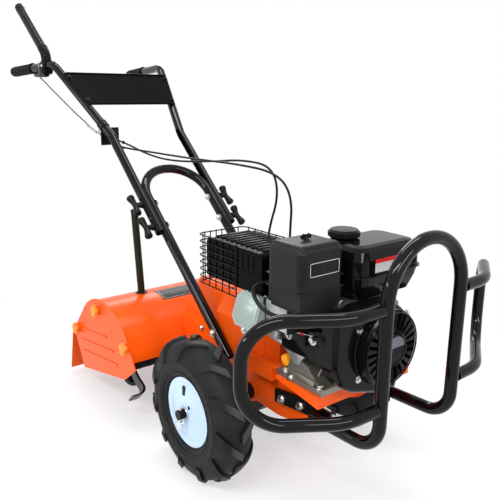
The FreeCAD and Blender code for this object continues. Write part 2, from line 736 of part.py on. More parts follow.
def gear_cases():
    """The gear case that carries the axle, and the case that takes the drive back to the tines."""
    case = body("gear_case")
    inside = "(chassis_half_width - chassis_sheet - seat_gap)"
    shape = [("0 - 120", "135"), ("30", "135"), ("58", "165"), ("58", "300"), ("30", "330"), ("0 - 120", "330"),
             ("0 - 150", "300"), ("0 - 150", "165")]
    pad(case, outline(case, "XZ_Plane", shape), "%s * 2" % inside, both_ways=True)
    pocket(case, rings(case, "XZ_Plane", [("0", "tyre_radius", "axle_radius + seat_gap")]), "%s * 3" % inside,
           both_ways=True)
    tine_case = body("tine_drive_case")
    arm = [("0 - tine_reach", "tine_height + 46"), ("0 - tine_reach", "tine_height - 46"),
           ("0 - 150 - seat_gap", "170"), ("0 - 150 - seat_gap", "258")]
    pad(tine_case, outline(tine_case, "XZ_Plane", arm), "42", both_ways=True)
    pad(tine_case, rings(tine_case, "XZ_Plane", [("0 - tine_reach", "tine_height", "46")]), "42", both_ways=True)
    pocket(tine_case, rings(tine_case, "XZ_Plane", [("0 - tine_reach", "tine_height",
                                                     "tine_shaft_radius + running_gap")]), "80", both_ways=True)
    axle_tubes = []
    for _, side in SIDES:
        start = Vector(0, side * size("chassis_half_width + seat_gap"), size("tyre_radius"))
        end = Vector(0, side * size("wheel_offset - rim_width / 2 - 8"), size("tyre_radius"))
        axle_tubes.append(rod(start, end, size("axle_radius") + 9).cut(rod(start, end, size("axle_radius + seat_gap"))))
    feature("axle_tubes", Part.Compound(axle_tubes))


# ------------------------------------------------------------------ handles


def handles():
    """The hoop bolted to the chassis, the two handle tubes on it, and what they carry."""
    radius = size("tube_radius")
    wall = size("tube_wall")
    leg = size("hoop_half_width")
    crown = Vector(-573.5, 0, 703.5)
    slope = math.radians(41.7)
    rise = Vector(-math.cos(slope), 0, math.sin(slope))
    shoulder = crown - rise * leg

    def on_leg(x, out):
        spot = shoulder + rise * ((x - shoulder.x) / rise.x)
        return Vector(spot.x, out, spot.z)

    foot = on_leg(-70, leg)
    top = Vector(crown.x, leg, crown.z)
    points = [Vector(foot.x, -leg, foot.z), Vector(top.x, -leg, top.z), top, foot]
    feature("handle_hoop", tube(points, [leg * 0.985, leg * 0.985], radius, wall))
    strut_seat = size("tine_height") + math.sqrt(size("hood_radius") ** 2 - 14 ** 2)
    out = size("handle_half_width")
    shaft = -size("tine_reach")
    strut = rod(Vector(shaft - 14, -150, strut_seat + 0.3), Vector(shaft - 27, -157, strut_seat + 260), 11)
    feature("hood_strut", strut)
    for name, side in SIDES:
        start = on_leg(-392, out)
        bend = handle_bend()
        line = [start, bend, Vector(-950, 203, 1031), Vector(-1258, 236, 1012)]
        bar = tube(mirrored(line, side), [50, 60], radius, wall)
        leg_room = rod(on_leg(-330, side * leg), on_leg(-700, side * leg), radius + size("seat_gap"))
        feature("handle_tube_" + name, bar.cut(leg_room))
        grip_start = line[2] + (line[3] - line[2]) * 0.5
        grip_end = line[3] + (line[3] - line[2]).normalize() * 4
        sleeve = rod(grip_start, grip_end, size("grip_radius"))
        bore = rod(grip_start, line[3], radius + size("seat_gap"))
        shape = sleeve.cut(bore)
        if side < 0:
            shape = shape.mirror(Vector(), Vector(0, 1, 0))
        feature("grip_" + name, shape)
    knobs = []
    for _, side in SIDES:
        for x in (-474, -410):
            seat = on_leg(x, side * (out + radius + size("seat_gap")))
            neck = rod(seat, seat + Vector(0, side * 16, 0), 7)
            wing = rod(seat + Vector(0, side * 22, 0) - rise * 24, seat + Vector(0, side * 22, 0) + rise * 24, 8)
            knobs.append(joined([neck, wing]))
    feature("clamp_knobs", Part.Compound(knobs))
    climb = Vector(-950, 203, 1031) - bend
    normal = Vector(climb.z, 0, -climb.x).normalize()
    low = bend + climb * 0.38 + normal * (radius + 0.3)
    high = bend + climb * 0.82 + normal * (radius + 0.3)
    corners = [Vector(p.x, s * (p.y + 4), p.z) for p, s in ((low, -1), (low, 1), (high, 1), (high, -1))]
    panel = Part.Face(Part.makePolygon(corners + corners[:1])).extrude(normal * 3)
    feature("console_panel", panel)
    lever()
    cables()


def handle_bend():
    """Where a handle tube turns up towards the grips, on the machine's left."""
    return Vector(-686, size("handle_half_width"), 703.5 + (686 - 573.5) * math.tan(math.radians(41.7)))


def lever():
    """The clutch lever with its sleeve, on a clamp round the right handle tube."""
    corner = Vector(-950, -203, 1031)
    along = (Vector(-1258, -236, 1012) - corner).normalize()
    middle = corner + along * 56
    radius = size("tube_radius")
    ring = rod(middle - along * 20, middle + along * 20, radius + 5)
    lug_box = Part.makeBox(100, 18, 20, Vector(-1098, middle.y - 13, 993))
    ears = Part.makeBox(30, 18, 24, Vector(middle.x - 12, middle.y - 9, middle.z + 6))
    room = rod(corner, corner + along * 300, radius + size("seat_gap"))
    feature("lever_bracket", joined([ring, lug_box, ears]).cut(room))
    pivot = Vector(middle.x + 3, middle.y, middle.z + 30.3 + 9)
    boss = rod(pivot - Vector(0, 9, 0), pivot + Vector(0, 9, 0), 9)
    top = Vector(-1233, middle.y, 1236)
    rail = rod(pivot, top, 5)
    reach = (top - pivot).normalize()
    sleeve = rod(pivot + reach * 22, top + reach * 5, size("lever_radius"))
    feature("clutch_lever", joined([boss, rail, sleeve]))


def cables():
    """The lever cable down to its clamp, and two control cables that arch forward to the drive cover."""
    radius = size("cable_radius")
    bend = handle_bend()
    bend.y = -bend.y
    along = (Vector(-950, -203, 1031) - bend).normalize()
    spot = bend + along * 52
    ring = rod(spot - along * 11, spot + along * 11, size("tube_radius") + 3)
    web = Part.makeBox(5, 62, 56, Vector(spot.x - 2, spot.y - 10, spot.z - 62))
    room = rod(bend, bend + along * 120, size("tube_radius") + size("seat_gap"))
    feature("cable_bracket", joined([ring, web]).cut(room))
    rear = spot.x - 2.8 - size("seat_gap")
    front = spot.x + 3.4 + size("seat_gap")
    lead = [Vector(-1078, -208, 990.8), Vector(-845, -152, 843), Vector(rear, -141, 802)]
    wire = swept(path(lead, arc_radii(lead)), 2)
    run = (lead[2] - lead[1]).normalize()
    spring = rod(lead[1] + run * 22, lead[2] - run * 4, 5.5)
    feature("lever_cable", joined([wire, spring]))
    top = size("cover_top") + size("seat_gap")
    runs = {
        "control_cable_a": [Vector(front, -99, 791), Vector(-665, -97, 786), Vector(-569, -60, 750),
                            Vector(-438, -46, 742), Vector(-267, -24, 756), Vector(-140, -20, 772),
                            Vector(-14, -20, 768), Vector(16, -20, 700), Vector(-24, -20, 600),
                            Vector(-34, -20, 500), Vector(-34, -20, top)],
        "control_cable_b": [Vector(front, -109, 774), Vector(-652, -107, 770), Vector(-543, -74, 764),
                            Vector(-407, -64, 762), Vector(-295, -48, 760), Vector(-140, -38, 762),
                            Vector(10, -24, 754), Vector(52, -8, 700), Vector(44, -6, 600),
                            Vector(40, -4, 500), Vector(40, -4, top)],
    }
    for name, points in runs.items():
        feature(name, swept(path(points, arc_radii(points)), radius))


def arc_radii(points):
    """The largest arc that the runs beside each corner of a cable leave room for."""
    radii = []
    for before, corner, after in zip(points, points[1:], points[2:]):
        run = min((before - corner).Length, (after - corner).Length)
        turn = math.pi - (before - corner).getAngle(after - corner)
        radii.append(0.45 * run / math.tan(turn / 2))
    return radii


# ------------------------------------------------------------------ bumper


def bumper():
    """The hoop in front of the engine, the two side guards and the plates that bolt it to the chassis."""
    radius = size("tube_radius")
    wall = size("tube_wall")
    x = size("bumper_x")
    half = size("bumper_half_width")
    top = size("bumper_top")
    low = 240
    rear = Vector(262, half, 232)
    points = [rear, Vector(x, half, low), Vector(x, half, top)]
    line = mirrored(points, -1) + mirrored(points, 1)[::-1]
    feature("bumper_hoop", tube(line, [62, half * 0.985, half * 0.985, 62], radius, wall))
    high = size("guard_height_high")
    bottom = size("guard_height_low")
    for name, side in SIDES:
        start = half + radius + size("seat_gap")
        arm = [
            Vector(x, start, high), Vector(x - 2, 215, high), Vector(x - 113, 384, high),
            Vector(x - 113, 384, bottom), Vector(x - 2, 215, bottom), Vector(x, start, bottom),
        ]
        shape = tube(mirrored(arm, side), [120, 85, 85, 120], radius - 0.8, wall)
        feature("side_guard_" + name, shape)
    plates = []
    gap = size("chassis_half_width") + size("seat_gap")
    thick = half - radius - size("seat_gap") - gap
    for _, side in SIDES:
        corners = [(112, 203), (231, 217), (302, 217), (302, 252), (224, 252), (112, 237)]
        points = [Vector(px, side * gap, pz) for px, pz in corners]
        plate = Part.Face(Part.makePolygon(points + points[:1])).extrude(Vector(0, side * thick, 0))
        plates.append(plate)
    feature("bumper_plates", Part.Compound(plates))


# ------------------------------------------------------------------ engine


def block(name, plane, corners, low, length):
    """An upright or lying prism: an outline on an origin plane, padded from an offset."""
    owner = body(name)
    pad(owner, outline(owner, plane, corners, low), length)
    return owner


def engine():
    """The single-cylinder engine: crankcase, inclined cylinder, blower, tank, air cleaner and muffler."""
    deck = "deck_height"
    crank = "(deck_height + crank_height)"
    lean = math.radians(18)
    axis = Vector(0, -math.cos(lean), math.sin(lean))
    upward = Vector(0, math.sin(lean), math.cos(lean))
    root = Vector(132, -98, size(crank) + 26)
    upper = root + upward * 37 - axis * size("seat_gap")
    lower = root - upward * 37 - axis * size("seat_gap")
    case = block("crankcase", "YZ_Plane", [
        ("0 - 145", deck), ("65", deck), ("65", "%s + 14" % deck), ("95", "%s - 20" % crank),
        ("95", "%s + 70" % crank), ("60", "%s + 100" % crank), ("0 - 60", "%s + 96" % crank),
        (str(upper.y), str(upper.z)), (str(lower.y), str(lower.z)),
        ("0 - 100", "%s + 14" % deck), ("0 - 145", "%s + 14" % deck)], "166", "148")
    pad(case, rings(case, "YZ_Plane", [("0", crank, "11")], "122"), "60")
    pocket(case, rings(case, "YZ_Plane", [("0", crank, "62")], "314"), "118")
    web = [("190", "%s + 13" % deck), ("304", "%s + 13" % deck), ("262", "%s + 50" % deck), ("212", "%s + 62" % deck)]
    pad(case, outline(case, "XZ_Plane", web, "98"), "40")
    turned = Rotation(Vector(1, 0, 0), 90 - math.degrees(lean))
    cylinder = body("cylinder_head")
    for number in range(11):
        grow = 42 if number % 2 else 36
        face = outline(cylinder, "XY_Plane", [("0 - %d" % grow, "1 - %d" % grow), (str(grow), "1 - %d" % grow),
                                              (str(grow), "%d - 1" % grow), ("0 - %d" % grow, "%d - 1" % grow)],
                       "8 * %d" % number)
        pad(cylinder, face, "8")
    cylinder.Placement = Placement(Vector(), turned)
    place(cylinder, root.x, root.y, root.z)
    valve = body("valve_cover")
    pad(valve, outline(valve, "XY_Plane", [("0 - 44", "0 - 24"), ("0 - 27", "0 - 40"), ("27", "0 - 40"), ("44", "0 - 24"),
                                           ("44", "24"), ("27", "40"), ("0 - 27", "40"), ("0 - 44", "24")],
                       "88 + seat_gap"), "30")
    valve.Placement = Placement(Vector(), turned)
    place(valve, root.x, root.y, root.z)
    shell = block("blower_housing", "YZ_Plane", [
        ("0 - 8", "%s - 115" % crank, "110"), ("100", "%s - 8" % crank, "108"), ("0 - 8", "%s + 100" % crank),
        ("0 - 118", "%s + 97" % crank, "34"), ("0 - 150", "%s + 64" % crank), ("0 - 150", "%s - 22" % crank, "110"),
        ("0 - 84", "%s - 92" % crank)], "314 + seat_gap", "40")
    round_edges(shell, "11", lambda edge: edge.BoundBox.XMin > 354 + 0.2)
    room = outline(shell, "YZ_Plane", [
        ("0 - 8", "%s - 111" % crank, "106"), ("96", "%s - 8" % crank, "104"), ("0 - 8", "%s + 96" % crank),
        ("0 - 117", "%s + 93" % crank, "30"), ("0 - 146", "%s + 63" % crank), ("0 - 146", "%s - 22" % crank, "106"),
        ("0 - 82", "%s - 88" % crank)], "317 + seat_gap")
    pocket(shell, room, "34", reverse=True)
    pocket(shell, rings(shell, "YZ_Plane", [("0", crank, "recoil_radius - 10")], "354 + seat_gap"), "6")
    recoil = body("recoil_starter")
    face = "recoil_front"
    back = "314 + 40 + 2 * seat_gap"
    dome = [(face, "0"), (face, "30"), ("%s - 6" % face, "34"), ("%s - 8" % face, "recoil_radius - 8"),
            ("%s - 14" % face, "recoil_radius"), (back, "recoil_radius"), (back, "recoil_radius - 4"),
            ("%s - 15" % face, "recoil_radius - 4"), ("%s - 12" % face, "recoil_radius - 10"),
            ("%s - 10" % face, "31"), ("%s - 4" % face, "27"), ("%s - 4" % face, "0")]
    revolve(recoil, outline(recoil, "XZ_Plane", dome), "X_Axis")
    vent = outline(recoil, "XY_Plane", [("%s - 16" % face, "46"), ("%s + 4" % face, "46"),
                                        ("%s + 4" % face, "recoil_radius - 9"), ("%s - 16" % face, "recoil_radius - 9")])
    cut = pocket(recoil, vent, "8", both_ways=True)
    polar(recoil, [cut], "X_Axis", "24")
    place(recoil, 0, 0, crank)
    feature("fuel_tank", fuel_tank())
    cap = body("tank_cap")
    revolve(cap, outline(cap, "XZ_Plane", [("0", "0"), ("30", "0"), ("36", "4"), ("36", "15"), ("31", "20"), ("0", "20")]),
            "Z_Axis")
    place(cap, "220", "2", "%s + 218 + seat_gap" % crank)
    seam = "%s + 138" % crank
    cleaner = block("air_cleaner", "XY_Plane", box_corners("196", "304", "0 - 206", "0 - 82"), seam, "94")
    round_edges(cleaner, "16", runs_along((0, 0, 1)))
    round_edges(cleaner, "12", lambda edge: edge.BoundBox.ZMin > size(crank) + 232 - 1e-3)
    pad(cleaner, outline(cleaner, "XY_Plane", box_corners("200", "300", "0 - 202", "0 - 86"), "%s + 104" % crank),
        "34")
    pad(cleaner, rings(cleaner, "XY_Plane", [("214", "0 - 152", "26")], "%s + 98" % crank), "6")
    inside = outline(cleaner, "XY_Plane", box_corners("206", "294", "0 - 196", "0 - 92"), "%s + 110" % crank)
    pocket(cleaner, inside, "116", reverse=True)
    intake = rings(cleaner, "XY_Plane", [("214", "0 - 152", "18")], "%s + 98" % crank)
    pocket(cleaner, intake, "14", reverse=True)
    muffler = block("muffler", "XZ_Plane", box_corners("0 - 70", "150", "%s + 92" % crank, "%s + 190" % crank),
                    "40", "140")
    round_edges(muffler, "16", runs_along((0, 1, 0)))
    pipe = rings(muffler, "XY_Plane", [("118", "0 - 120", "16")], "%s + 62" % crank)
    pad(muffler, pipe, "40")
    lid = root + upward * (41 + size("seat_gap"))
    under = [lid, lid + axis * 100, lid + axis * 100 - upward * 40, lid - upward * 40]
    below = outline(muffler, "YZ_Plane", [(corner.y, corner.z) for corner in under], "90")
    pocket(muffler, below, "56", reverse=True)
    feature("muffler_cage", muffler_cage())
    dip = body("dipstick")
    revolve(dip, outline(dip, "XZ_Plane", [("0", "0"), ("7", "0"), ("7", "22"), ("13", "22"), ("13", "32"), ("0", "34")]),
            "Z_Axis")
    dip.Placement = Placement(Vector(), Rotation(Vector(0, 0, 1), Vector(0, -0.9927, -0.121)))
    place(dip, 182, "0 - 103.6", "%s + 40" % deck)
    block("engine_shroud", "XZ_Plane", box_corners("192", "314", "%s - 20" % crank, "%s + 37" % crank),
          "147", "3")
    block("control_block", "YZ_Plane", box_corners("0 - 78", "0 - 50", "%s + 80" % crank, "%s + 102" % crank),
          "354.6", "16")
    block("carburettor", "YZ_Plane", box_corners("0 - 190", "0 - 130", "%s + 38" % crank, "%s + 97.7" % crank),
          "176.6", "73")


def rounded(room, height, radius):
    """A level outline with rounded corners: room is its lowest x and y and its highest x and y."""
    low_x, low_y, high_x, high_y = room
    slab = Part.makePlane(high_x - low_x, high_y - low_y, Vector(low_x, low_y, height)).extrude(Vector(0, 0, 1))
    upright = [edge for edge in slab.Edges if abs(edge.tangentAt(edge.FirstParameter).z) > 0.9]
    return next(face for face in slab.makeFillet(radius, upright).Faces
                if abs(face.BoundBox.ZMax - height) < 1e-6).OuterWire


def fuel_tank():
    """The pressed tank: a lower pan and an upper shell joined at a flange, with a filler hole on top."""
    crank = size("deck_height + crank_height")
    levels = [(crank + rise, inset, corner) for rise, inset, corner in (
        (100.3, 18, 24), (132, 6, 30), (155, 2, 30), (188, 3, 30), (207, 9, 28), (215, 17, 24), (218, 28, 20))]
    base = levels[0][0]
    top = levels[-1][0]

    def shell(thin):
        wires = []
        for height, inset, corner in levels:
            room = (180 + inset + thin, -62 + inset + thin, 330 - inset - thin, 157 - inset - thin)
            level = base + thin + (height - base) * (top - base - 2 * thin) / (top - base)
            wires.append(rounded(room, level, corner))
        return Part.makeLoft(wires, True, True)

    flange = Part.Face(rounded((178, -64, 332, 159), crank + 153, 32)).extrude(Vector(0, 0, 3))
    filler = rod(Vector(220, 2, crank + 192), Vector(220, 2, top + 14), 24)
    return joined([shell(0), flange]).cut(shell(4)).cut(filler)


def muffler_cage():
    """A welded wire guard round the back of the muffler: uprights inside level hoops."""
    wire = 1.6
    inset = 2
    left, right, rear, front = -183.8, -36.2, -106, 60
    low = size("deck_height + crank_height") + 68
    high = low + 124
    bars = []
    for step in range(8):
        z = low + (high - low) * step / 7
        ring = [Vector(front, left, z), Vector(rear, left, z), Vector(rear, right, z), Vector(front, right, z)]
        bars.append(swept(path(ring, [18, 18]), wire))
    for step in range(7):
        y = left + 21 + (right - left - 42) * step / 6
        bars.append(rod(Vector(rear + inset, y, low - 3), Vector(rear + inset, y, high + 3), wire * 0.9))
    for step in range(6):
        x = rear + 22 + (front - rear - 26) * step / 5
        for y in (left + inset, right - inset):
            bars.append(rod(Vector(x, y, low - 3), Vector(x, y, high + 3), wire * 0.9))
    return joined(bars)


# ------------------------------------------------------------------- build


def check(item):
    """Stop on a failed or empty shape."""
    if "Invalid" in item.State or "Error" in item.State:
        raise ValueError("%s did not recompute" % item.Label)


def write():
    """Check the document and write each sub-part under its node name."""
    DOC.recompute()
    for item in DOC.Objects:
        check(item)
    os.makedirs("parts", exist_ok=True)
    for item in PARTS:
        shape = item.Shape
        if shape.isNull() or not shape.isValid() or not shape.Solids:
            raise ValueError("%s has no valid solid" % item.Label)
        shape.exportStep("parts/%s.step" % item.Label)
        print("%-20s %3d solids %10.0f mm3" % (item.Label, len(shape.Solids), shape.Volume))


for wheel_name, wheel_side in SIDES:
    tyre("tyre_" + wheel_name, wheel_side)
    rim("rim_" + wheel_name, wheel_side)
axle_and_pins()
tine_rotor()
hood()
rear_flap()
chassis()
handles()
bumper()
engine()
write()
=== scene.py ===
"""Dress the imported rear-tine tiller: finishes for its solids, its cables, fasteners and trim, and its studio."""
import logging
import math
from contextlib import contextmanager
from dataclasses import dataclass
from enum import Enum
from typing import ClassVar, Iterator, Sequence

import bmesh
import bpy
from mathutils import Matrix, Quaternion, Vector


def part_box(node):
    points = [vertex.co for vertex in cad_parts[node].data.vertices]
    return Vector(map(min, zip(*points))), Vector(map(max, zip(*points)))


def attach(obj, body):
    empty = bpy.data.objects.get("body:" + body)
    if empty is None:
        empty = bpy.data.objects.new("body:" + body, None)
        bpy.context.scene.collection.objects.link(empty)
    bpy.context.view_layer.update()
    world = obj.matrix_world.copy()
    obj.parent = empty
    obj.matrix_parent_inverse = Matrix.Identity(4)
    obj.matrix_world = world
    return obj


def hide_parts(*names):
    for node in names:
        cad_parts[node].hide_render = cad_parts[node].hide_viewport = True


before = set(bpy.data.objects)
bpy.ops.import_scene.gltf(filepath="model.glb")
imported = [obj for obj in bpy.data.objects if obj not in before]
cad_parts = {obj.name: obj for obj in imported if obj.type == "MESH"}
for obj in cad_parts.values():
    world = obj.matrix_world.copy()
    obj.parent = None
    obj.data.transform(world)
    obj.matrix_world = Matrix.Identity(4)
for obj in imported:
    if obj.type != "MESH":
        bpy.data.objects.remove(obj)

LOG = logging.getLogger("tiller")
MM = 0.001
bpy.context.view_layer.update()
AXLE_X = sum(corner[0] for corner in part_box("wheel_axle")) / 2
AXLE_HEIGHT = 184.0
AHEAD, RIGHTWARD, UP = Vector((1, 0, 0)), Vector((0, -1, 0)), Vector((0, 0, 1))

Place = Sequence[float]
Pair = tuple[float, float]
Point = tuple[float, float, float]
Colour = tuple[float, float, float]
Outline = Sequence[Pair]
Route = Sequence[Point]
Rows = tuple[tuple[float, ...], ...]
Bar = tuple[Point, Point, float]
Box = tuple[Point, Point, float]
Boxes = tuple[Box, ...]


class Body(Enum):
    """The bodies that pieces ride on."""

    MACHINE = "machine"
    WHEEL_RIGHT = "wheel_right"
    WHEEL_LEFT = "wheel_left"
    ROTOR = "tine_rotor"


class Side(Enum):
    """The machine's two sides, as signs along Y."""

    RIGHT = -1
    LEFT = 1

    @property
    def out(self) -> Vector:
        """Give the direction away from the machine."""
        return Vector((0, self.value, 0))

    @property
    def word(self) -> str:
        """Give the side as it stands in names."""
        return self.name.lower()

    def spot(self, x: float, y: float, z: float) -> Vector:
        """Give a point of the left side on this side."""
        return Vector((x, y * self.value, z))


def in_frame(points: Sequence[Place]) -> list[Vector]:
    """Turn millimetres measured from the axle's middle on the ground into the shared frame's metres."""
    return [Vector((AXLE_X + x * MM, y * MM, z * MM)) for x, y, z in points]


def straight(start: Place, end: Place) -> tuple[Vector, Vector]:
    """Give a line's start and its direction."""
    return Vector(start), (Vector(end) - Vector(start)).normalized()


def tilt(axis: Place, degrees: float) -> Quaternion:
    """Give a turn about an axis."""
    return Quaternion(axis, math.radians(degrees))


def circle_spots(count: int, radius: float, first: float = 0.0) -> list[Pair]:
    """Give evenly spaced points on a circle round the origin, from a first angle in degrees."""
    turns = [math.tau * number / count + math.radians(first) for number in range(count)]
    return [(radius * math.cos(turn), radius * math.sin(turn)) for turn in turns]


def linked(name: str, data: bpy.types.ID) -> bpy.types.Object:
    """Make an object and put it in the scene."""
    piece = bpy.data.objects.new(name, data)
    bpy.context.scene.collection.objects.link(piece)
    return piece


# ---------------------------------------------------------------- shader maths


class Value:
    """A shader socket that takes part in Python expressions."""

    def __init__(self, graph: "Graph", socket: bpy.types.NodeSocket) -> None:
        """Keep the graph that the socket belongs to."""
        self.graph = graph
        self.socket = socket

    def _maths(self, operation: str, first: object, second: object) -> "Value":
        """Add one Math node."""
        return self.graph.add("ShaderNodeMath", {"operation": operation}, {0: first, 1: second})

    def __add__(self, other: object) -> "Value":
        """Add."""
        return self._maths("ADD", self, other)

    __radd__ = __add__

    def __sub__(self, other: object) -> "Value":
        """Subtract."""
        return self._maths("SUBTRACT", self, other)

    def __rsub__(self, other: object) -> "Value":
        """Subtract from a number."""
        return self._maths("SUBTRACT", other, self)

    def __mul__(self, other: object) -> "Value":
        """Multiply."""
        return self._maths("MULTIPLY", self, other)

    __rmul__ = __mul__

    def __pow__(self, other: object) -> "Value":
        """Raise to a power."""
        return self._maths("POWER", self, other)

    def above(self, level: float) -> "Value":
        """Give 1 where this is above a level."""
        return self._maths("GREATER_THAN", self, level)

    def highest(self, other: object) -> "Value":
        """Give the larger of two values."""
        return self._maths("MAXIMUM", self, other)

    def ramp(self, low: float, high: float, start: float = 0.0, end: float = 1.0) -> "Value":
        """Rescale from one range to another, held at its ends."""
        return self.graph.add(
            "ShaderNodeMapRange", {"clamp": True}, {0: self, 1: low, 2: high, 3: start, 4: end}
        )


class Graph:
    """The node tree of a material or a world, and the few ways this script adds to it."""

    def __init__(
        self, owner: bpy.types.Material | bpy.types.World, output: str = "ShaderNodeOutputMaterial"
    ) -> None:
        """Empty the tree and give it its output.

        Args:
            owner: The material or the world.
            output: The type of its output node.
        """
        owner.use_nodes = True
        self.owner = owner
        self.tree = owner.node_tree
        self.tree.nodes.clear()
        self.output = self.tree.nodes.new(output)

    def add(
        self, kind: str, settings: dict | None = None, inputs: dict | None = None, result: object = 0
    ) -> Value:
        """Add a node.

        Args:
            kind: The node's type.
            settings: What is set on the node first.
            inputs: Values or links, by a socket's name or number.
            result: The output that is wanted.

        Returns:
            That output.
        """
        node = self.tree.nodes.new(kind)
        for key, value in (settings or {}).items():
            setattr(node, key, value)
        for key, value in (inputs or {}).items():
            if isinstance(value, Value):
                self.tree.links.new(value.socket, node.inputs[key])
            elif node.inputs[key].type == "RGBA":
                node.inputs[key].default_value = (*value, 1.0)
            else:
                node.inputs[key].default_value = value
        return Value(self, node.outputs[result])

    def place(self) -> Value:
        """Give the Object coordinates."""
        return self.add("ShaderNodeTexCoord", result="Object")

    def part(self, axis: int) -> Value:
        """Give one of the Object coordinates, in metres."""
        return self.add("ShaderNodeSeparateXYZ", inputs={0: self.place()}, result=axis)

    def noise(self, scale: float, detail: float = 3.0, roughness: float = 0.55) -> Value:
        """Give noise from 0 to 1."""
        return self.add(
            "ShaderNodeTexNoise",
            inputs={"Vector": self.place(), "Scale": scale, "Detail": detail, "Roughness": roughness},
        )

    def cells(self, scale: float) -> Value:
        """Give the distance to the nearest of scattered points."""
        return self.add("ShaderNodeTexVoronoi", inputs={"Vector": self.place(), "Scale": scale})

    def mix(self, factor: object, first: object, second: object) -> Value:
        """Blend two colours."""
        return self.add(
            "ShaderNodeMix", {"data_type": "RGBA"}, {0: factor, 6: first, 7: second}, result=2
        )

    def shades(self, factor: Value, colour: Colour, darker: float, lighter: float) -> Value:
        """Blend from a darker to a lighter shade of one colour."""
        dark = tuple(channel * darker for channel in colour)
        light = tuple(min(channel * lighter, 1) for channel in colour)
        return self.mix(factor.ramp(0.3, 0.7), dark, light)

    def bump(self, height: Value, distance: float, strength: float) -> Value:
        """Give a normal from a height."""
        return self.add("ShaderNodeBump", inputs={"Height": height, "Distance": distance, "Strength": strength})

    def surface(self, **sockets: object) -> None:
        """Finish with a Principled shader; underscores in the names stand for spaces."""
        inputs = {name.replace("_", " "): value for name, value in sockets.items()}
        self.show(self.add("ShaderNodeBsdfPrincipled", inputs=inputs))

    def show(self, shader: Value) -> None:
        """Link a shader to the output."""
        self.tree.links.new(shader.socket, self.output.inputs["Surface"])


# -------------------------------------------------------------------- finishes


@dataclass(frozen=True)
class Finish:
    """What every finish shares: a name, the slot it may be changed by, and a material that is made once."""

    name: str
    slot: str
    made: ClassVar[dict[str, bpy.types.Material]] = {}

    def material(self) -> bpy.types.Material:
        """Give the finish's material, made the first time it is asked for."""
        if self.name not in self.made:
            graph = Graph(bpy.data.materials.new(self.name))
            self.paint(graph)
            self.made[self.name] = graph.owner
        return self.made[self.name]

    def paint(self, graph: Graph) -> None:
        """Add the finish's nodes."""
        raise NotImplementedError


@dataclass(frozen=True)
class Paint(Finish):
    """Sprayed or powder-coated metal: slight orange peel, and dust that lies everywhere, most of it low down."""

    colour: Colour
    roughness: float = 0.28
    dust: float = 0.12
    specular: float = 0.42
    peel: float = 0.00006
    coat: float = 0.0
    dust_colour: Colour = (0.30, 0.25, 0.20)
    drift_scale: ClassVar[float] = 9
    dust_scale: ClassVar[float] = 310
    polish_scale: ClassVar[float] = 35
    peel_scale: ClassVar[float] = 520
    dust_heights: ClassVar[Pair] = (0.05, 0.42)

    def paint(self, graph: Graph) -> None:
        """Layer colour drift, settled dust and peel."""
        base = graph.shades(graph.noise(self.drift_scale, 2), self.colour, 0.93, 1.06)
        fine = graph.noise(self.dust_scale, 4, 0.65)
        low = 1 - graph.part(2).ramp(*self.dust_heights)
        settled = (low * 0.75 + 0.25) * fine.ramp(0.42, 0.78) * self.dust
        rough = settled * 0.45 + (self.roughness - 0.04) + graph.noise(self.polish_scale) * 0.09
        graph.surface(
            Base_Color=graph.mix(settled, base, self.dust_colour), Roughness=rough,
            Normal=graph.bump(graph.noise(self.peel_scale, 2), self.peel, 0.5),
            Coat_Weight=self.coat, Coat_Roughness=0.08, Specular_IOR_Level=self.specular,
        )


@dataclass(frozen=True)
class Rubber(Finish):
    """Moulded rubber with a dull bloom, and on a tyre lugs that are scuffed beyond a radius."""

    colour: Colour
    bloom: Colour
    roughness: float
    specular: float = 0.16
    grain: float = 0.00012
    grain_scale: float = 700.0
    scuffed_from: float | None = None
    scuff: Colour = (0.070, 0.068, 0.060)
    scuff_edge: ClassVar[float] = 0.006
    patch_scale: ClassVar[float] = 14
    speck_scale: ClassVar[float] = 160

    def paint(self, graph: Graph) -> None:
        """Layer the bloom, fine pores and mould marks."""
        patch = graph.noise(self.patch_scale, 4, 0.6).ramp(0.42, 0.72)
        pores = graph.noise(self.grain_scale, 3, 0.6)
        speck = graph.noise(self.speck_scale, 3, 0.7).ramp(0.5, 0.8)
        base = graph.mix(patch * 0.5 + speck * 0.25, self.colour, self.bloom)
        if self.scuffed_from is not None:
            ahead = graph.part(0) - AXLE_X
            above = graph.part(2) - AXLE_HEIGHT * MM
            reach = (ahead * ahead + above * above) ** 0.5
            lug = reach.ramp(self.scuffed_from, self.scuffed_from + self.scuff_edge)
            worn = lug * speck.ramp(0, 1, 0.7, 1.0)
            base = graph.mix(worn, base, self.scuff)
        rough = patch * 0.14 + pores * 0.10 + (self.roughness - 0.12)
        graph.surface(
            Base_Color=base, Roughness=rough, Normal=graph.bump(pores, self.grain, 0.6),
            Specular_IOR_Level=self.specular,
        )


@dataclass(frozen=True)
class Plastic(Finish):
    """Moulded plastic with a spark-eroded grain."""

    colour: Colour
    roughness: float
    specular: float
    glow: float = 0.0
    grain: float = 0.00010
    grain_scale: ClassVar[float] = 900
    drift_scale: ClassVar[float] = 18

    def paint(self, graph: Graph) -> None:
        """Layer the grain and a faint handling sheen."""
        grain = graph.cells(self.grain_scale)
        drift = graph.noise(self.drift_scale)
        rough = drift * 0.12 + grain * 0.05 + (self.roughness - 0.08)
        graph.surface(
            Base_Color=graph.shades(drift, self.colour, 0.90, 1.10), Roughness=rough,
            Normal=graph.bump(grain, self.grain, 0.5), Specular_IOR_Level=self.specular,
            Subsurface_Weight=self.glow,
        )


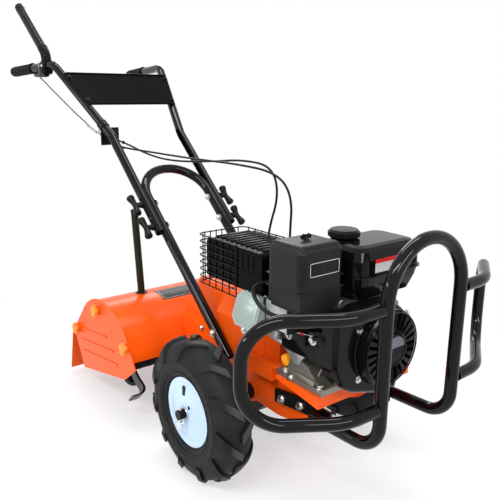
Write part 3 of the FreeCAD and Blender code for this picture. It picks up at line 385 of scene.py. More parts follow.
@dataclass(frozen=True)
class Metal(Finish):
    """Bare, plated or cast metal with fine scratches, pits and a little tarnish."""

    colour: Colour
    tarnish: Colour
    roughness: float
    pits: float = 0.00008
    pit_scale: float = 420.0
    spread: float = 0.35
    metallic: float = 1.0
    cloud_scale: ClassVar[float] = 26

    def paint(self, graph: Graph) -> None:
        """Layer tarnish, pits and a varied polish."""
        cloud = graph.noise(self.cloud_scale, 5, 0.65).ramp(0.38, 0.74)
        pits = graph.noise(self.pit_scale, 4, 0.6)
        tarnished = cloud * self.spread + pits.ramp(0.55, 0.8) * 0.2
        rough = cloud * 0.16 + pits * 0.12 + (self.roughness - 0.10)
        graph.surface(
            Base_Color=graph.mix(tarnished, self.colour, self.tarnish), Roughness=rough,
            Metallic=self.metallic, Normal=graph.bump(pits, self.pits, 0.7),
        )


@dataclass(frozen=True)
class Label(Finish):
    """A printed film label, left blank: one colour, and another above a height in metres."""

    lower: Colour
    upper: Colour
    split: float = 0.0
    scuff: ClassVar[Colour] = (0.35, 0.33, 0.31)
    scuff_scale: ClassVar[float] = 120

    def paint(self, graph: Graph) -> None:
        """Split the field at its height and scuff it."""
        scuff = graph.noise(self.scuff_scale, 4)
        base = graph.mix(graph.part(2).above(self.split), self.lower, self.upper)
        base = graph.mix(scuff.ramp(0.62, 0.8) * 0.15, base, self.scuff)
        graph.surface(Base_Color=base, Roughness=scuff * 0.1 + 0.28, Specular_IOR_Level=0.12)


ORANGE = Paint("orange_paint", "machine_paint", (0.90, 0.098, 0.004), roughness=0.25, dust=0.03, specular=0.16)
TUBE_BLACK = Paint(
    "tube_black", "tube_paint", (0.0025, 0.0025, 0.003), roughness=0.05, dust=0.003, specular=0.22,
    peel=0.00001,
)
SHEET_BLACK = Paint(
    "sheet_black", "black_paint", (0.006, 0.006, 0.0065), roughness=0.24, dust=0.02, specular=0.12
)
SHROUD_BLACK = Paint(
    "shroud_black", "gloss_black", (0.004, 0.004, 0.0045), roughness=0.14, dust=0.008, specular=0.14
)
TANK_BLACK = Paint(
    "tank_black", "gloss_black", (0.003, 0.003, 0.0035), roughness=0.10, dust=0.004, specular=0.17,
    peel=0.00003,
)
STRUT_OLIVE = Paint(
    "strut_black", "black_paint", (0.018, 0.017, 0.010), roughness=0.30, dust=0.02, specular=0.12
)
CASE_BLACK = Paint(
    "case_black", "case_paint", (0.016, 0.016, 0.017), roughness=0.46, dust=0.08, specular=0.2, peel=0.00018
)
RIM_PAINT = Paint(
    "rim_paint", "rim_paint", (0.50, 0.66, 0.84), dust=0.06, coat=0.2, dust_colour=(0.45, 0.42, 0.38)
)
MUFFLER_BLACK = Paint(
    "muffler_black", "black_paint", (0.0025, 0.0025, 0.0025), roughness=0.22, dust=0.002, specular=0.04,
    peel=0.0001,
)
WIRE_BLACK = Paint("wire_black", "black_paint", (0.005, 0.005, 0.005), roughness=0.28, dust=0.01, specular=0.10)
TYRE = Rubber(
    "tyre_rubber", "tyre_rubber", (0.008, 0.0085, 0.009), (0.026, 0.026, 0.027), roughness=0.56,
    specular=0.15, scuffed_from=0.1765,
)
GRIP_RUBBER = Rubber(
    "grip_rubber", "black_rubber", (0.0045, 0.0045, 0.005), (0.011, 0.011, 0.012), roughness=0.40,
    specular=0.08, grain=0.00020, grain_scale=520,
)
JACKET = Rubber(
    "cable_jacket", "black_rubber", (0.005, 0.005, 0.0055), (0.014, 0.014, 0.015), roughness=0.34,
    grain=0.00004, grain_scale=900,
)
FILTER_PLASTIC = Plastic("filter_cover", "black_plastic", (0.009, 0.010, 0.0115), roughness=0.38, specular=0.18)
FILTER_BASE = Plastic("filter_base", "black_plastic", (0.010, 0.011, 0.012), roughness=0.44, specular=0.14)
KNOB_BLACK = Plastic("knob_black", "black_plastic", (0.006, 0.006, 0.0065), roughness=0.26, specular=0.13)
KNOB_ORANGE = Plastic(
    "knob_orange", "orange_plastic", (0.92, 0.27, 0.020), roughness=0.36, specular=0.3, glow=0.10
)
DIP_ORANGE = Plastic(
    "dipstick_orange", "orange_plastic", (0.93, 0.33, 0.010), roughness=0.32, specular=0.3, glow=0.08
)
SWITCH_RED = Plastic("switch_red", "orange_plastic", (0.55, 0.012, 0.012), roughness=0.30, specular=0.3)
CONSOLE = Plastic(
    "console_panel", "black_plastic", (0.0035, 0.0035, 0.003), roughness=0.36, specular=0.025, grain=0.00006
)
STEEL = Metal("zinc_steel", "zinc_steel", (0.66, 0.66, 0.64), (0.38, 0.35, 0.30), roughness=0.26)
CHROME = Metal(
    "chrome_steel", "zinc_steel", (0.80, 0.80, 0.81), (0.55, 0.53, 0.50), roughness=0.12, pits=0.00002
)
CAST = Metal(
    "cast_aluminium", "cast_aluminium", (0.52, 0.54, 0.53), (0.28, 0.29, 0.28), roughness=0.40, pits=0.00035,
    pit_scale=260, metallic=0.85,
)
PALE_CAST = Metal(
    "pale_casting", "cast_aluminium", (0.32, 0.39, 0.365), (0.24, 0.29, 0.27), roughness=0.40, pits=0.00030,
    pit_scale=300, metallic=0.45,
)
TINE = Metal(
    "tine_steel", "tine_steel", (0.085, 0.085, 0.095), (0.045, 0.036, 0.030), roughness=0.34, pits=0.00020,
    pit_scale=300, spread=0.6,
)
GREY_METAL = Metal(
    "grey_gasket_metal", "cast_aluminium", (0.27, 0.26, 0.22), (0.13, 0.12, 0.10), roughness=0.38,
    pits=0.00020, pit_scale=300, metallic=0.8,
)
LABEL_BLACK = Label("label_black", "black_plastic", (0.010, 0.010, 0.012), (0.010, 0.010, 0.012))
LABEL_SILVER = Label("label_silver", "zinc_steel", (0.62, 0.63, 0.65), (0.62, 0.63, 0.65))
TANK_LABEL = Label("tank_label", "orange_plastic", (0.50, 0.50, 0.52), (0.62, 0.014, 0.012), split=0.590)
RECOIL_LABEL = Label(
    "recoil_label", "black_plastic", (0.012, 0.006, 0.013), (0.145, 0.145, 0.175), split=0.4145
)

NODE_FINISHES: dict[Finish, tuple[str, ...]] = {
    TYRE: ("tyre_right", "tyre_left"),
    RIM_PAINT: ("rim_right", "rim_left"),
    TINE: ("tine_shaft", "tines_right", "tines_left"),
    CHROME: ("lynch_pins",),
    STEEL: ("flap_rod",),
    ORANGE: (
        "hood_skin", "hood_end_right", "hood_end_left", "rear_flap", "side_plate_right", "side_plate_left",
        "engine_bed", "drive_cover", "hood_neck",
    ),
    KNOB_ORANGE: ("hood_knobs",),
    CASE_BLACK: ("gear_case", "tine_drive_case"),
    STRUT_OLIVE: ("hood_strut",),
    TUBE_BLACK: (
        "handle_hoop", "handle_tube_right", "handle_tube_left", "bumper_hoop", "side_guard_right",
        "side_guard_left",
    ),
    SHEET_BLACK: ("wheel_axle", "axle_tubes", "cable_bracket", "bumper_plates"),
    GRIP_RUBBER: ("grip_right", "grip_left"),
    KNOB_BLACK: ("clamp_knobs", "lever_bracket", "clutch_lever", "tank_cap", "control_block"),
    CONSOLE: ("console_panel",),
    GREY_METAL: ("crankcase",),
    CAST: ("cylinder_head", "carburettor"),
    PALE_CAST: ("valve_cover",),
    SHROUD_BLACK: ("blower_housing", "recoil_starter", "engine_shroud"),
    TANK_BLACK: ("fuel_tank",),
    FILTER_PLASTIC: ("air_cleaner",),
    MUFFLER_BLACK: ("muffler",),
    WIRE_BLACK: ("muffler_cage",),
    DIP_ORANGE: ("dipstick",),
}


def dress_nodes() -> None:
    """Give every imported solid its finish."""
    for finish, names in NODE_FINISHES.items():
        for name in names:
            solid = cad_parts[name]
            if not solid.material_slots:
                solid.data.materials.append(finish.material())
            for held in solid.material_slots:
                held.material = finish.material()
            LOG.info("%s: %s", name, finish.name)


# --------------------------------------------------------------------- shaping


class Shaper:
    """Builds one piece's mesh with bmesh operators, in millimetres from the axle's middle on the ground."""

    WASHER_RADIUS = 0.92  # the parts of a bolt, as shares of its width across flats
    WASHER_THICK = 0.14
    HEAD_RADIUS = 0.575
    HEAD_HEIGHT = 0.5
    HEAD_BEVEL = 0.06
    SAME_SPOT = 0.001
    SHARP = math.radians(35)

    def __init__(self) -> None:
        """Start with nothing."""
        self.form = bmesh.new()

    @staticmethod
    def facing(seat: Vector, out: Vector) -> Matrix:
        """Give the placement that takes local Z to a direction, at a seat."""
        return Matrix.Translation(seat) @ out.to_track_quat("Z", "Y").to_matrix().to_4x4()

    @staticmethod
    def soften(form: bmesh.types.BMesh, edges: list[bmesh.types.BMEdge], width: float, rounds: int = 2) -> None:
        """Bevel some edges."""
        bmesh.ops.bevel(
            form, geom=edges, offset=width, segments=rounds, profile=0.5, affect="EDGES", material=-1
        )

    def take(self, form: bmesh.types.BMesh, placing: Matrix | None = None) -> None:
        """Move another form to its place and add its faces to this piece."""
        if placing is not None:
            bmesh.ops.transform(form, matrix=placing, verts=form.verts)
        held = bpy.data.meshes.new("held")
        form.to_mesh(held)
        form.free()
        self.form.from_mesh(held)
        bpy.data.meshes.remove(held)

    def take_spun(self, form: bmesh.types.BMesh, steps: int, placing: Matrix) -> None:
        """Spin a form's section once round Z, close it, and add it to this piece."""
        bmesh.ops.spin(
            form, geom=form.verts[:] + form.edges[:], cent=(0, 0, 0), axis=(0, 0, 1), angle=math.tau,
            steps=steps, use_merge=True,
        )
        bmesh.ops.remove_doubles(form, verts=form.verts, dist=self.SAME_SPOT)
        bmesh.ops.recalc_face_normals(form, faces=form.faces)
        self.take(form, placing)

    def rod(self, start: Place, end: Place, radius: float, steps: int = 20, tip: float | None = None) -> None:
        """Add a round bar between two points.

        Args:
            start: The middle of one end.
            end: The middle of the other end.
            radius: Its radius at the start.
            steps: Its facets around.
            tip: Its radius at the end, if that differs.
        """
        start, end = Vector(start), Vector(end)
        along = end - start
        bmesh.ops.create_cone(
            self.form, cap_ends=True, segments=steps, radius1=radius, radius2=radius if tip is None else tip,
            depth=along.length, matrix=self.facing((start + end) / 2, along),
        )

    def lathe(self, profile: Outline, seat: Vector, out: Vector, steps: int = 40) -> None:
        """Spin a profile round an axis.

        Args:
            profile: Pairs of radius and height.
            seat: Where height is 0 on the axis.
            out: The axis.
            steps: The facets around.
        """
        form = bmesh.new()
        rim = [bmesh.ops.create_vert(form, co=(radius, 0, height))["vert"][0] for radius, height in profile]
        for pair in zip(rim, rim[1:]):
            form.edges.new(pair)
        self.take_spun(form, steps, self.facing(seat, out))

    def ring(
        self, seat: Place, out: Vector, radius: float, thick: float, steps: int = 40, sides: int = 8
    ) -> None:
        """Add a round bead bent into a ring.

        Args:
            seat: The ring's middle.
            out: Its axis.
            radius: From its middle to the bead's middle.
            thick: The bead's own radius.
            steps: The facets around the ring.
            sides: The facets around the bead.
        """
        form = bmesh.new()
        turn = Matrix.Translation((radius, 0, 0)) @ Matrix.Rotation(math.pi / 2, 4, "X")
        bmesh.ops.create_circle(form, cap_ends=False, segments=sides, radius=thick, matrix=turn)
        self.take_spun(form, steps, self.facing(Vector(seat), out))

    def block(
        self, middle: Place, size: Point, soften: float = 0.6, turn: Quaternion | None = None, rounds: int = 2
    ) -> None:
        """Add a box with bevelled edges.

        Args:
            middle: Its centre.
            size: Its three sides.
            soften: The bevel's width.
            turn: How it is turned.
            rounds: The bevel's segments.
        """
        form = bmesh.new()
        bmesh.ops.create_cube(form, size=1, matrix=Matrix.Diagonal((*size, 1)))
        if soften > 0:
            self.soften(form, form.edges[:], soften, rounds)
        self.take(form, Matrix.Translation(middle) @ (turn or Quaternion()).to_matrix().to_4x4())

    def blocks(self, *boxes: Box) -> None:
        """Add upright boxes, each given by its centre, its sides and its bevel's width."""
        for middle, size, soften in boxes:
            self.block(middle, size, soften)

    def prism(self, corners: Sequence[Place], depth: Place, soften: float) -> None:
        """Extrude a flat outline.

        Args:
            corners: The outline's corners in order.
            depth: How far and which way it is extruded.
            soften: The bevel's width.
        """
        form = bmesh.new()
        rim = [bmesh.ops.create_vert(form, co=corner)["vert"][0] for corner in corners]
        face = bmesh.ops.contextual_create(form, geom=rim)["faces"]
        moved = bmesh.ops.extrude_face_region(form, geom=face, use_keep_orig=True)["geom"]
        far = [item for item in moved if isinstance(item, bmesh.types.BMVert)]
        bmesh.ops.translate(form, vec=depth, verts=far)
        bmesh.ops.recalc_face_normals(form, faces=form.faces)
        self.soften(form, form.edges[:], soften)
        self.take(form)

    def bolt(self, seat: Place, out: Vector, across: float, washer: bool = True) -> None:
        """Add a hexagon bolt's head on its washer.

        The head is bevelled in metres, because the operator places a corner's middle otherwise on a large form.

        Args:
            seat: The middle of the face it bears on.
            out: Which way it stands out.
            across: The hexagon's width.
            washer: Whether a washer lies under it.
        """
        base, out = Vector(seat), out.normalized()
        if washer:
            top = base + out * across * self.WASHER_THICK
            self.rod(base, top, across * self.WASHER_RADIUS, 24)
            base = top
        form = bmesh.new()
        radius, height = across * MM * self.HEAD_RADIUS, across * MM * self.HEAD_HEIGHT
        bmesh.ops.create_cone(form, cap_ends=True, segments=6, radius1=radius, radius2=radius, depth=height)
        rim = [edge for edge in form.edges if all(vert.co.z > 0 for vert in edge.verts)]
        self.soften(form, rim, across * MM * self.HEAD_BEVEL)
        middle = base + out * across * self.HEAD_HEIGHT / 2
        self.take(form, self.facing(middle, out) @ Matrix.Scale(1 / MM, 4))

    def bolts(self, seats: Sequence[Place], out: Vector, across: float) -> None:
        """Add bolts of one size that face one way."""
        for seat in seats:
            self.bolt(seat, out, across)

    def sweep(self, points: Sequence[Place], radius: float, steps: int) -> None:
        """Run a round section along points on a smooth line, closed at both ends."""
        line = smooth_line(points)
        form = bmesh.new()
        ring = bmesh.ops.create_circle(form, cap_ends=True, segments=steps, radius=radius)["verts"]
        along = (line[1] - line[0]).normalized()
        bmesh.ops.transform(form, matrix=self.facing(line[0], along), verts=ring)
        face = form.faces[:]
        for before, here, after in zip(line, line[1:], line[2:] + [line[-1] * 2 - line[-2]]):
            heading = (after - before).normalized()
            bend = along.rotation_difference(heading)
            moved = bmesh.ops.extrude_face_region(form, geom=face)["geom"]
            verts = [item for item in moved if isinstance(item, bmesh.types.BMVert)]
            face = [item for item in moved if isinstance(item, bmesh.types.BMFace)]
            step = Matrix.Translation(here) @ bend.to_matrix().to_4x4() @ Matrix.Translation(-before)
            bmesh.ops.transform(form, matrix=step, verts=verts)
            along = heading
        bmesh.ops.recalc_face_normals(form, faces=form.faces)
        self.take(form)

    def wrap(self, axis: Pair, radius: float, span: Pair, angles: Pair, thick: float) -> None:
        """Lay a thin sheet on a drum that lies along Y.

        Args:
            axis: The drum's X and Z.
            radius: The sheet's inner radius.
            span: Its two ends along Y.
            angles: Where it starts and ends, in degrees above forward.
            thick: Its thickness.
        """
        form = bmesh.new()
        first, last = (math.radians(angle) for angle in angles)
        section = ((radius, span[0]), (radius + thick, span[0]), (radius + thick, span[1]), (radius, span[1]))
        corners = [
            bmesh.ops.create_vert(form, co=(reach * math.cos(first), y, reach * math.sin(first)))["vert"][0]
            for reach, y in section
        ]
        face = bmesh.ops.contextual_create(form, geom=corners)["faces"]
        steps = max(2, round(math.degrees(last - first) / 3))
        bmesh.ops.spin(form, geom=face, cent=(0, 0, 0), axis=(0, -1, 0), angle=last - first, steps=steps)
        bmesh.ops.recalc_face_normals(form, faces=form.faces)
        self.take(form, Matrix.Translation((axis[0], 0, axis[1])))

    def finish(self, name: str, finish: Finish, body: Body = Body.MACHINE) -> bpy.types.Object:
        """Make the piece's object in the shared frame.

        Args:
            name: The piece's name.
            finish: Its finish.
            body: The body it rides on.

        Returns:
            The new object.
        """
        placing = Matrix.Translation((AXLE_X, 0, 0)) @ Matrix.Scale(MM, 4)
        bmesh.ops.transform(self.form, matrix=placing, verts=self.form.verts)
        for face in self.form.faces:
            face.smooth = True
        for edge in self.form.edges:
            edge.smooth = edge.calc_face_angle(math.pi) < self.SHARP
        mesh = bpy.data.meshes.new(name)
        self.form.to_mesh(mesh)
        self.form.free()
        mesh.materials.append(finish.material())
        piece = linked(name, mesh)
        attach(piece, body.value)
        LOG.info("%s: %d faces", name, len(mesh.polygons))
        return piece


@contextmanager
def shaped(name: str, finish: Finish, body: Body = Body.MACHINE) -> Iterator[Shaper]:
    """Shape one piece in a with block, and make its object when the block ends.

    Args:
        name: The piece's name.
        finish: Its finish.
        body: The body it rides on.

    Yields:
        The shaper that builds it.
    """
    shaper = Shaper()
    yield shaper
    shaper.finish(name, finish, body)


def nurbs_curve(name: str, points: Sequence[Place]) -> bpy.types.Object:
    """Make a curve of one open spline whose control points are a route's points."""
    data = bpy.data.curves.new(name, "CURVE")
    data.dimensions = "3D"
    spline = data.splines.new("NURBS")
    spline.points.add(len(points) - 1)
    for knot, point in zip(spline.points, points):
        knot.co = (*point, 1.0)
    spline.order_u = 3
    spline.use_endpoint_u = True
    spline.resolution_u = 12
    return linked(name, data)


def smooth_line(points: Sequence[Place]) -> list[Vector]:
    """Give the points along the smooth line that a route's points control, in millimetres."""
    guide = nurbs_curve("guide", points)
    mesh = bpy.data.meshes.new_from_object(guide)
    line = [vertex.co.copy() for vertex in mesh.vertices]
    data = guide.data
    bpy.data.objects.remove(guide)
    bpy.data.curves.remove(data)
    bpy.data.meshes.remove(mesh)
    kept = line[:1]
    for point in line[1:]:
        if (point - kept[-1]).length > 10 * Shaper.SAME_SPOT:
            kept.append(point)
    return kept


# ---------------------------------------------------------------------- camera


@dataclass(frozen=True)
class Viewpoint:
    """Where the camera stands and how it looks."""

    position: Point = (1.5682, -1.0060, 0.9454)
    azimuth: float = 52.14
    elevation: float = 14.39
    roll: float = 0.43
    lens: float = 44.29
    sensor: float = 36.0

    def build(self) -> None:
        """Create the scene's camera."""
        across, up = math.radians(self.azimuth), math.radians(self.elevation)
        back = Vector((math.sin(across) * math.cos(up), -math.cos(across) * math.cos(up), math.sin(up)))
        right = (-back).cross(UP).normalized()
        upward = right.cross(-back)
        turned = math.radians(self.roll)
        level = right * math.cos(turned) + upward * math.sin(turned)
        top = upward * math.cos(turned) - right * math.sin(turned)
        data = bpy.data.cameras.new("camera")
        data.sensor_width = self.sensor
        data.lens = self.lens
        camera = linked("camera", data)
        turn = Matrix((level, top, back)).transposed().to_4x4()
        camera.matrix_world = Matrix.Translation(self.position) @ turn
        bpy.context.scene.camera = camera


# ---------------------------------------------------------------------- cables


@dataclass
class Cables:
    """The lever's cable with its return spring, and the two control cables that arch to the drive cover.

    Ferrules are rows of where a bar starts and ends along the cable, and its radius at either end.
    """

    jacket_radius: float = 3.0
    wire_radius: float = 2.0
    head_ferrule: Rows = ((0, 16, 4.5, 4.5), (16, 22, 4.0, 3.1))
    foot_ferrule: Rows = ((0, 20, 5.0, 5.0), (20, 34, 4.4, 3.2))
    lever_route: Route = (
        (-1078, -208, 990.8), (-1020, -194, 954), (-845, -152, 843), (-729.5, -141, 802),
    )
    route_a: Route = (
        (-722.3, -99, 791), (-665, -97, 786), (-569, -60, 750), (-438, -46, 742), (-267, -24, 756),
        (-140, -20, 772), (-14, -20, 768), (16, -20, 700), (-24, -20, 600), (-34, -20, 500), (-34, -20, 418.3),
    )
    route_b: Route = (
        (-722.3, -109, 774), (-652, -107, 770), (-543, -74, 764), (-407, -64, 762), (-295, -48, 760),
        (-140, -38, 762), (10, -24, 754), (52, -8, 700), (44, -6, 600), (40, -4, 500), (40, -4, 418.3),
    )
    spring_start: float = 26.0
    spring_turns: int = 21
    spring_pitch: float = 3.0
    spring_section: Outline = ((3.8, -1.1), (5.4, -1.1), (5.4, 1.1), (3.8, 1.1), (3.8, -1.1))
    collar: tuple[float, float, float] = (-6.0, -1.0, 5.0)

    def build(self) -> None:
        """Lay the three cables and the fittings on them."""
        for name, route in (("control_cable_a", self.route_a), ("control_cable_b", self.route_b)):
            form = Shaper()
            self.ferrule(form, route[0], route[1], self.head_ferrule)
            self.ferrule(form, route[-1], route[-2], self.foot_ferrule)
            self.lay(name, route, self.jacket_radius, "loose", form.finish(name + "_ferrules", KNOB_BLACK))
        bend, run = straight(*self.lever_route[2:])
        start = bend + run * self.spring_start
        form = Shaper()
        for turn in range(self.spring_turns):
            form.lathe(self.spring_section, start + run * turn * self.spring_pitch, run, 14)
        low, high, radius = self.collar
        form.rod(start + run * low, start + run * high, radius, 12)
        spring = form.finish("lever_cable_spring", CHROME)
        self.lay("lever_cable", self.lever_route, self.wire_radius, "taut", spring)

    @staticmethod
    def ferrule(form: Shaper, end: Place, toward: Place, rows: Rows) -> None:
        """Put a ferrule's bars on a cable's end.

        Args:
            form: The piece they belong to.
            end: The cable's end.
            toward: The next point of its route.
            rows: The bars, as the class describes them.
        """
        base, along = straight(end, toward)
        for first, last, radius, tip in rows:
            form.rod(base + along * first, base + along * last, radius, tip=tip)

    def lay(
        self, name: str, route: Route, radius: float, lay: str, fitting: bpy.types.Object
    ) -> None:
        """Args:
            name: The node that it replaces.
            route: Its control points.
            radius: The cable's radius.
            lay: Whether it is drawn taut or hangs loose; it is not used.
            fitting: The separate piece on it; it is not used.
        """
        line = smooth_line(route)
        points = in_frame(route)
        piece = nurbs_curve(name + "_line", points)
        piece.data.bevel_depth = radius * MM
        piece.data.bevel_resolution = 4
        piece.data.use_fill_caps = True
        piece.data.materials.append(JACKET.material())
        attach(piece, Body.MACHINE.value)
        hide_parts(name)


# ------------------------------------------------------------------------ trim


@dataclass(frozen=True)
class Datum:
    """A place on the machine with its own directions."""

    origin: Point
    out: Point
    up: Point = (0.0, 0.0, 1.0)

    @property
    def outward(self) -> Vector:
        """Give the direction away from its surface."""
        return Vector(self.out)

    def at(self, across: float, up: float, out: float = 0.0) -> Vector:
        """Give a point, measured forward, up and out from the origin.

        Args:
            across: How far forward.
            up: How far along the datum's up direction.
            out: How far from the surface.

        Returns:
            The point.
        """
        return Vector(self.origin) + AHEAD * across + Vector(self.up) * up + self.outward * out

    def plate(self, form: Shaper, outline: Outline, out: float, thick: float, soften: float) -> None:
        """Add a flat plate that lies on the datum.

        Args:
            form: The piece it belongs to.
            outline: Its corners, forward and up.
            out: Where it starts above the surface.
            thick: Its thickness.
            soften: The bevel's width.
        """
        form.prism([self.at(x, y, out) for x, y in outline], self.outward * thick, soften)


@dataclass
class WheelTrim:
    """What a wheel carries beside its solids: bead ribs, a smooth disc, dark plates as painted shade for its slot
    and hole, hub washer and weld.
    """

    side: Side
    offset: float = 252.0
    ribs: Outline = ((103.0, 46.2), (112.0, 47.3), (131.0, 48.3))
    rib_thick: float = 1.1
    disc_face: Outline = (
        (73.8, 36.2), (70.0, 36.8), (56.0, 39.0), (40.0, 41.2), (28.0, 43.0), (19.4, 43.8),
    )
    disc_thick: float = 2.0
    # Where the dark plates sit and how thick they are: painted shade that stands for the dark inside of the disc's
    # slot and hole.
    slot_shade_spot: Point = (-10.0, 50.0, 39.2)
    slot_shade_radius: float = 6.2
    slot_shade_straight: float = 11.5
    slot_shade_thick: float = 1.6
    hole_shade_spot: Point = (17.0, 20.5, 42.6)
    hole_shade_radius: float = 4.6
    hole_shade_thick: float = 1.2
    washer: Outline = ((11.2, 0.0), (16.5, 0.0), (17.0, 0.8), (16.5, 1.8), (11.2, 1.8), (11.2, 0.0))
    washer_out: float = 46.3
    weld: Point = (21.0, 19.6, 1.6)

    def build(self) -> None:
        """Build the pieces of one wheel."""
        word, out = self.side.word, self.side.out
        body = Body.WHEEL_RIGHT if self.side is Side.RIGHT else Body.WHEEL_LEFT
        hub = Datum(tuple(self.side.spot(0, self.offset, AXLE_HEIGHT)), tuple(out))
        with shaped("tyre_ribs_" + word, TYRE, body) as form:
            for face in (1, -1):
                for radius, depth in self.ribs:
                    form.ring(hub.at(0, 0, face * depth), out, radius, self.rib_thick)
        with shaped("wheel_disc_" + word, RIM_PAINT, body) as form:
            back = tuple((radius, depth - self.disc_thick) for radius, depth in reversed(self.disc_face))
            form.lathe(self.disc_face + back + self.disc_face[:1], hub.at(0, 0), out, 56)
        # Painted shade: black plates on the disc's face in place of the dark inside of its slot and hole.
        with shaped("wheel_disc_hole_shade_" + word, JACKET, body) as form:
            x, z, depth = self.slot_shade_spot
            outline = [
                (x + across, z + up + math.copysign(self.slot_shade_straight, up))
                for across, up in circle_spots(16, self.slot_shade_radius, 11.25)
            ]
            hub.plate(form, outline, depth, self.slot_shade_thick, 0.3)
            hole = hub.at(*self.hole_shade_spot)
            form.rod(hole, hole + out * self.hole_shade_thick, self.hole_shade_radius, 18)
        with shaped("hub_washer_" + word, STEEL, body) as form:
            form.lathe(self.washer, hub.at(0, 0, self.washer_out), out, 32)
        with shaped("hub_weld_" + word, RIM_PAINT, body) as form:
            depth, radius, thick = self.weld
            form.ring(hub.at(0, 0, depth), out, radius, thick)


@dataclass
class HoodTrim:
    """The tine hood's fasteners, blank label strip, hems and front brackets, and its strut's foot and cap."""

    drum: Pair = (-470.0, 152.0)
    skin_radius: float = 185.3
    strip_span: Pair = (-114.0, 66.0)
    strip_angles: Pair = (70.0, 90.0)
    strip_thick: float = 0.3
    border_thick: float = 0.12
    border_inset: Pair = (5.0, 1.5)
    border_width: Pair = (1.2, 0.4)
    chassis_bolt: Point = (-220.0, 98.8, 290.0)
    strut_base: Point = (-484.0, -150.0, 337.0)
    strut_top: Point = (-497.0, -157.0, 596.0)
    foot: Outline = ((11.2, -3.0), (19.0, -3.0), (19.0, 0.5), (16.5, 2.2), (11.2, 2.2))
    foot_weld: Point = (3.5, 12.0, 1.6)
    cap: Outline = ((0.0, 4.5), (6.0, 4.2), (10.8, 2.0), (11.4, 0.0), (11.4, -6.0), (11.1, -6.0))
    hem_radius: float = 182.2
    hem_thick: float = 3.4
    hem_span: Pair = (285.5, 288.5)
    hem_angles: Pair = (17.0, 140.0)
    bracket: Point = (-296.5, 236.0, 193.5)
    bracket_size: Point = (3.0, 88.0, 25.0)
    bracket_bolts: Route = ((-295.0, 263.0, 192.0), (-295.0, 231.0, 192.0))

    def build(self) -> None:
        """Build the pieces."""
        with shaped("hood_label_strip", LABEL_BLACK) as form:
            form.wrap(self.drum, self.skin_radius, self.strip_span, self.strip_angles, self.strip_thick)
        self.label_border()
        with shaped("chassis_bolts", STEEL) as form:
            for side in Side:
                form.bolt(side.spot(*self.chassis_bolt), side.out, 11)
        base, up = straight(self.strut_base, self.strut_top)
        with shaped("strut_foot", STRUT_OLIVE) as form:
            form.lathe(self.foot, base, up, 28)
            height, radius, thick = self.foot_weld
            form.ring(base + up * height, up, radius, thick)
        with shaped("strut_cap", KNOB_BLACK) as form:
            form.lathe(self.cap, Vector(self.strut_top), up, 28)
        with shaped("hood_hems", ORANGE) as form:
            for side in Side:
                span = sorted(side.value * reach for reach in self.hem_span)
                form.wrap(self.drum, self.hem_radius, tuple(span), self.hem_angles, self.hem_thick)
        with shaped("hood_front_brackets", SHEET_BLACK) as form:
            for side in Side:
                form.block(side.spot(*self.bracket), self.bracket_size)
                form.bolts([side.spot(*seat) for seat in self.bracket_bolts], AHEAD, 12)

    def label_border(self) -> None:
        """Frame the blank label with a thin line just inside its edges."""
        inset, inset_angle = self.border_inset
        width, width_angle = self.border_width
        left, right = self.strip_span[0] + inset, self.strip_span[1] - inset
        low, high = self.strip_angles[0] + inset_angle, self.strip_angles[1] - inset_angle
        with shaped("hood_label_border", LABEL_SILVER) as form:
            for span, angles in (
                ((left, right), (low, low + width_angle)),
                ((left, right), (high - width_angle, high)),
                ((left, left + width), (low, high)),
                ((right - width, right), (low, high)),
            ):
                form.wrap(self.drum, self.skin_radius + self.strip_thick, span, angles, self.border_thick)


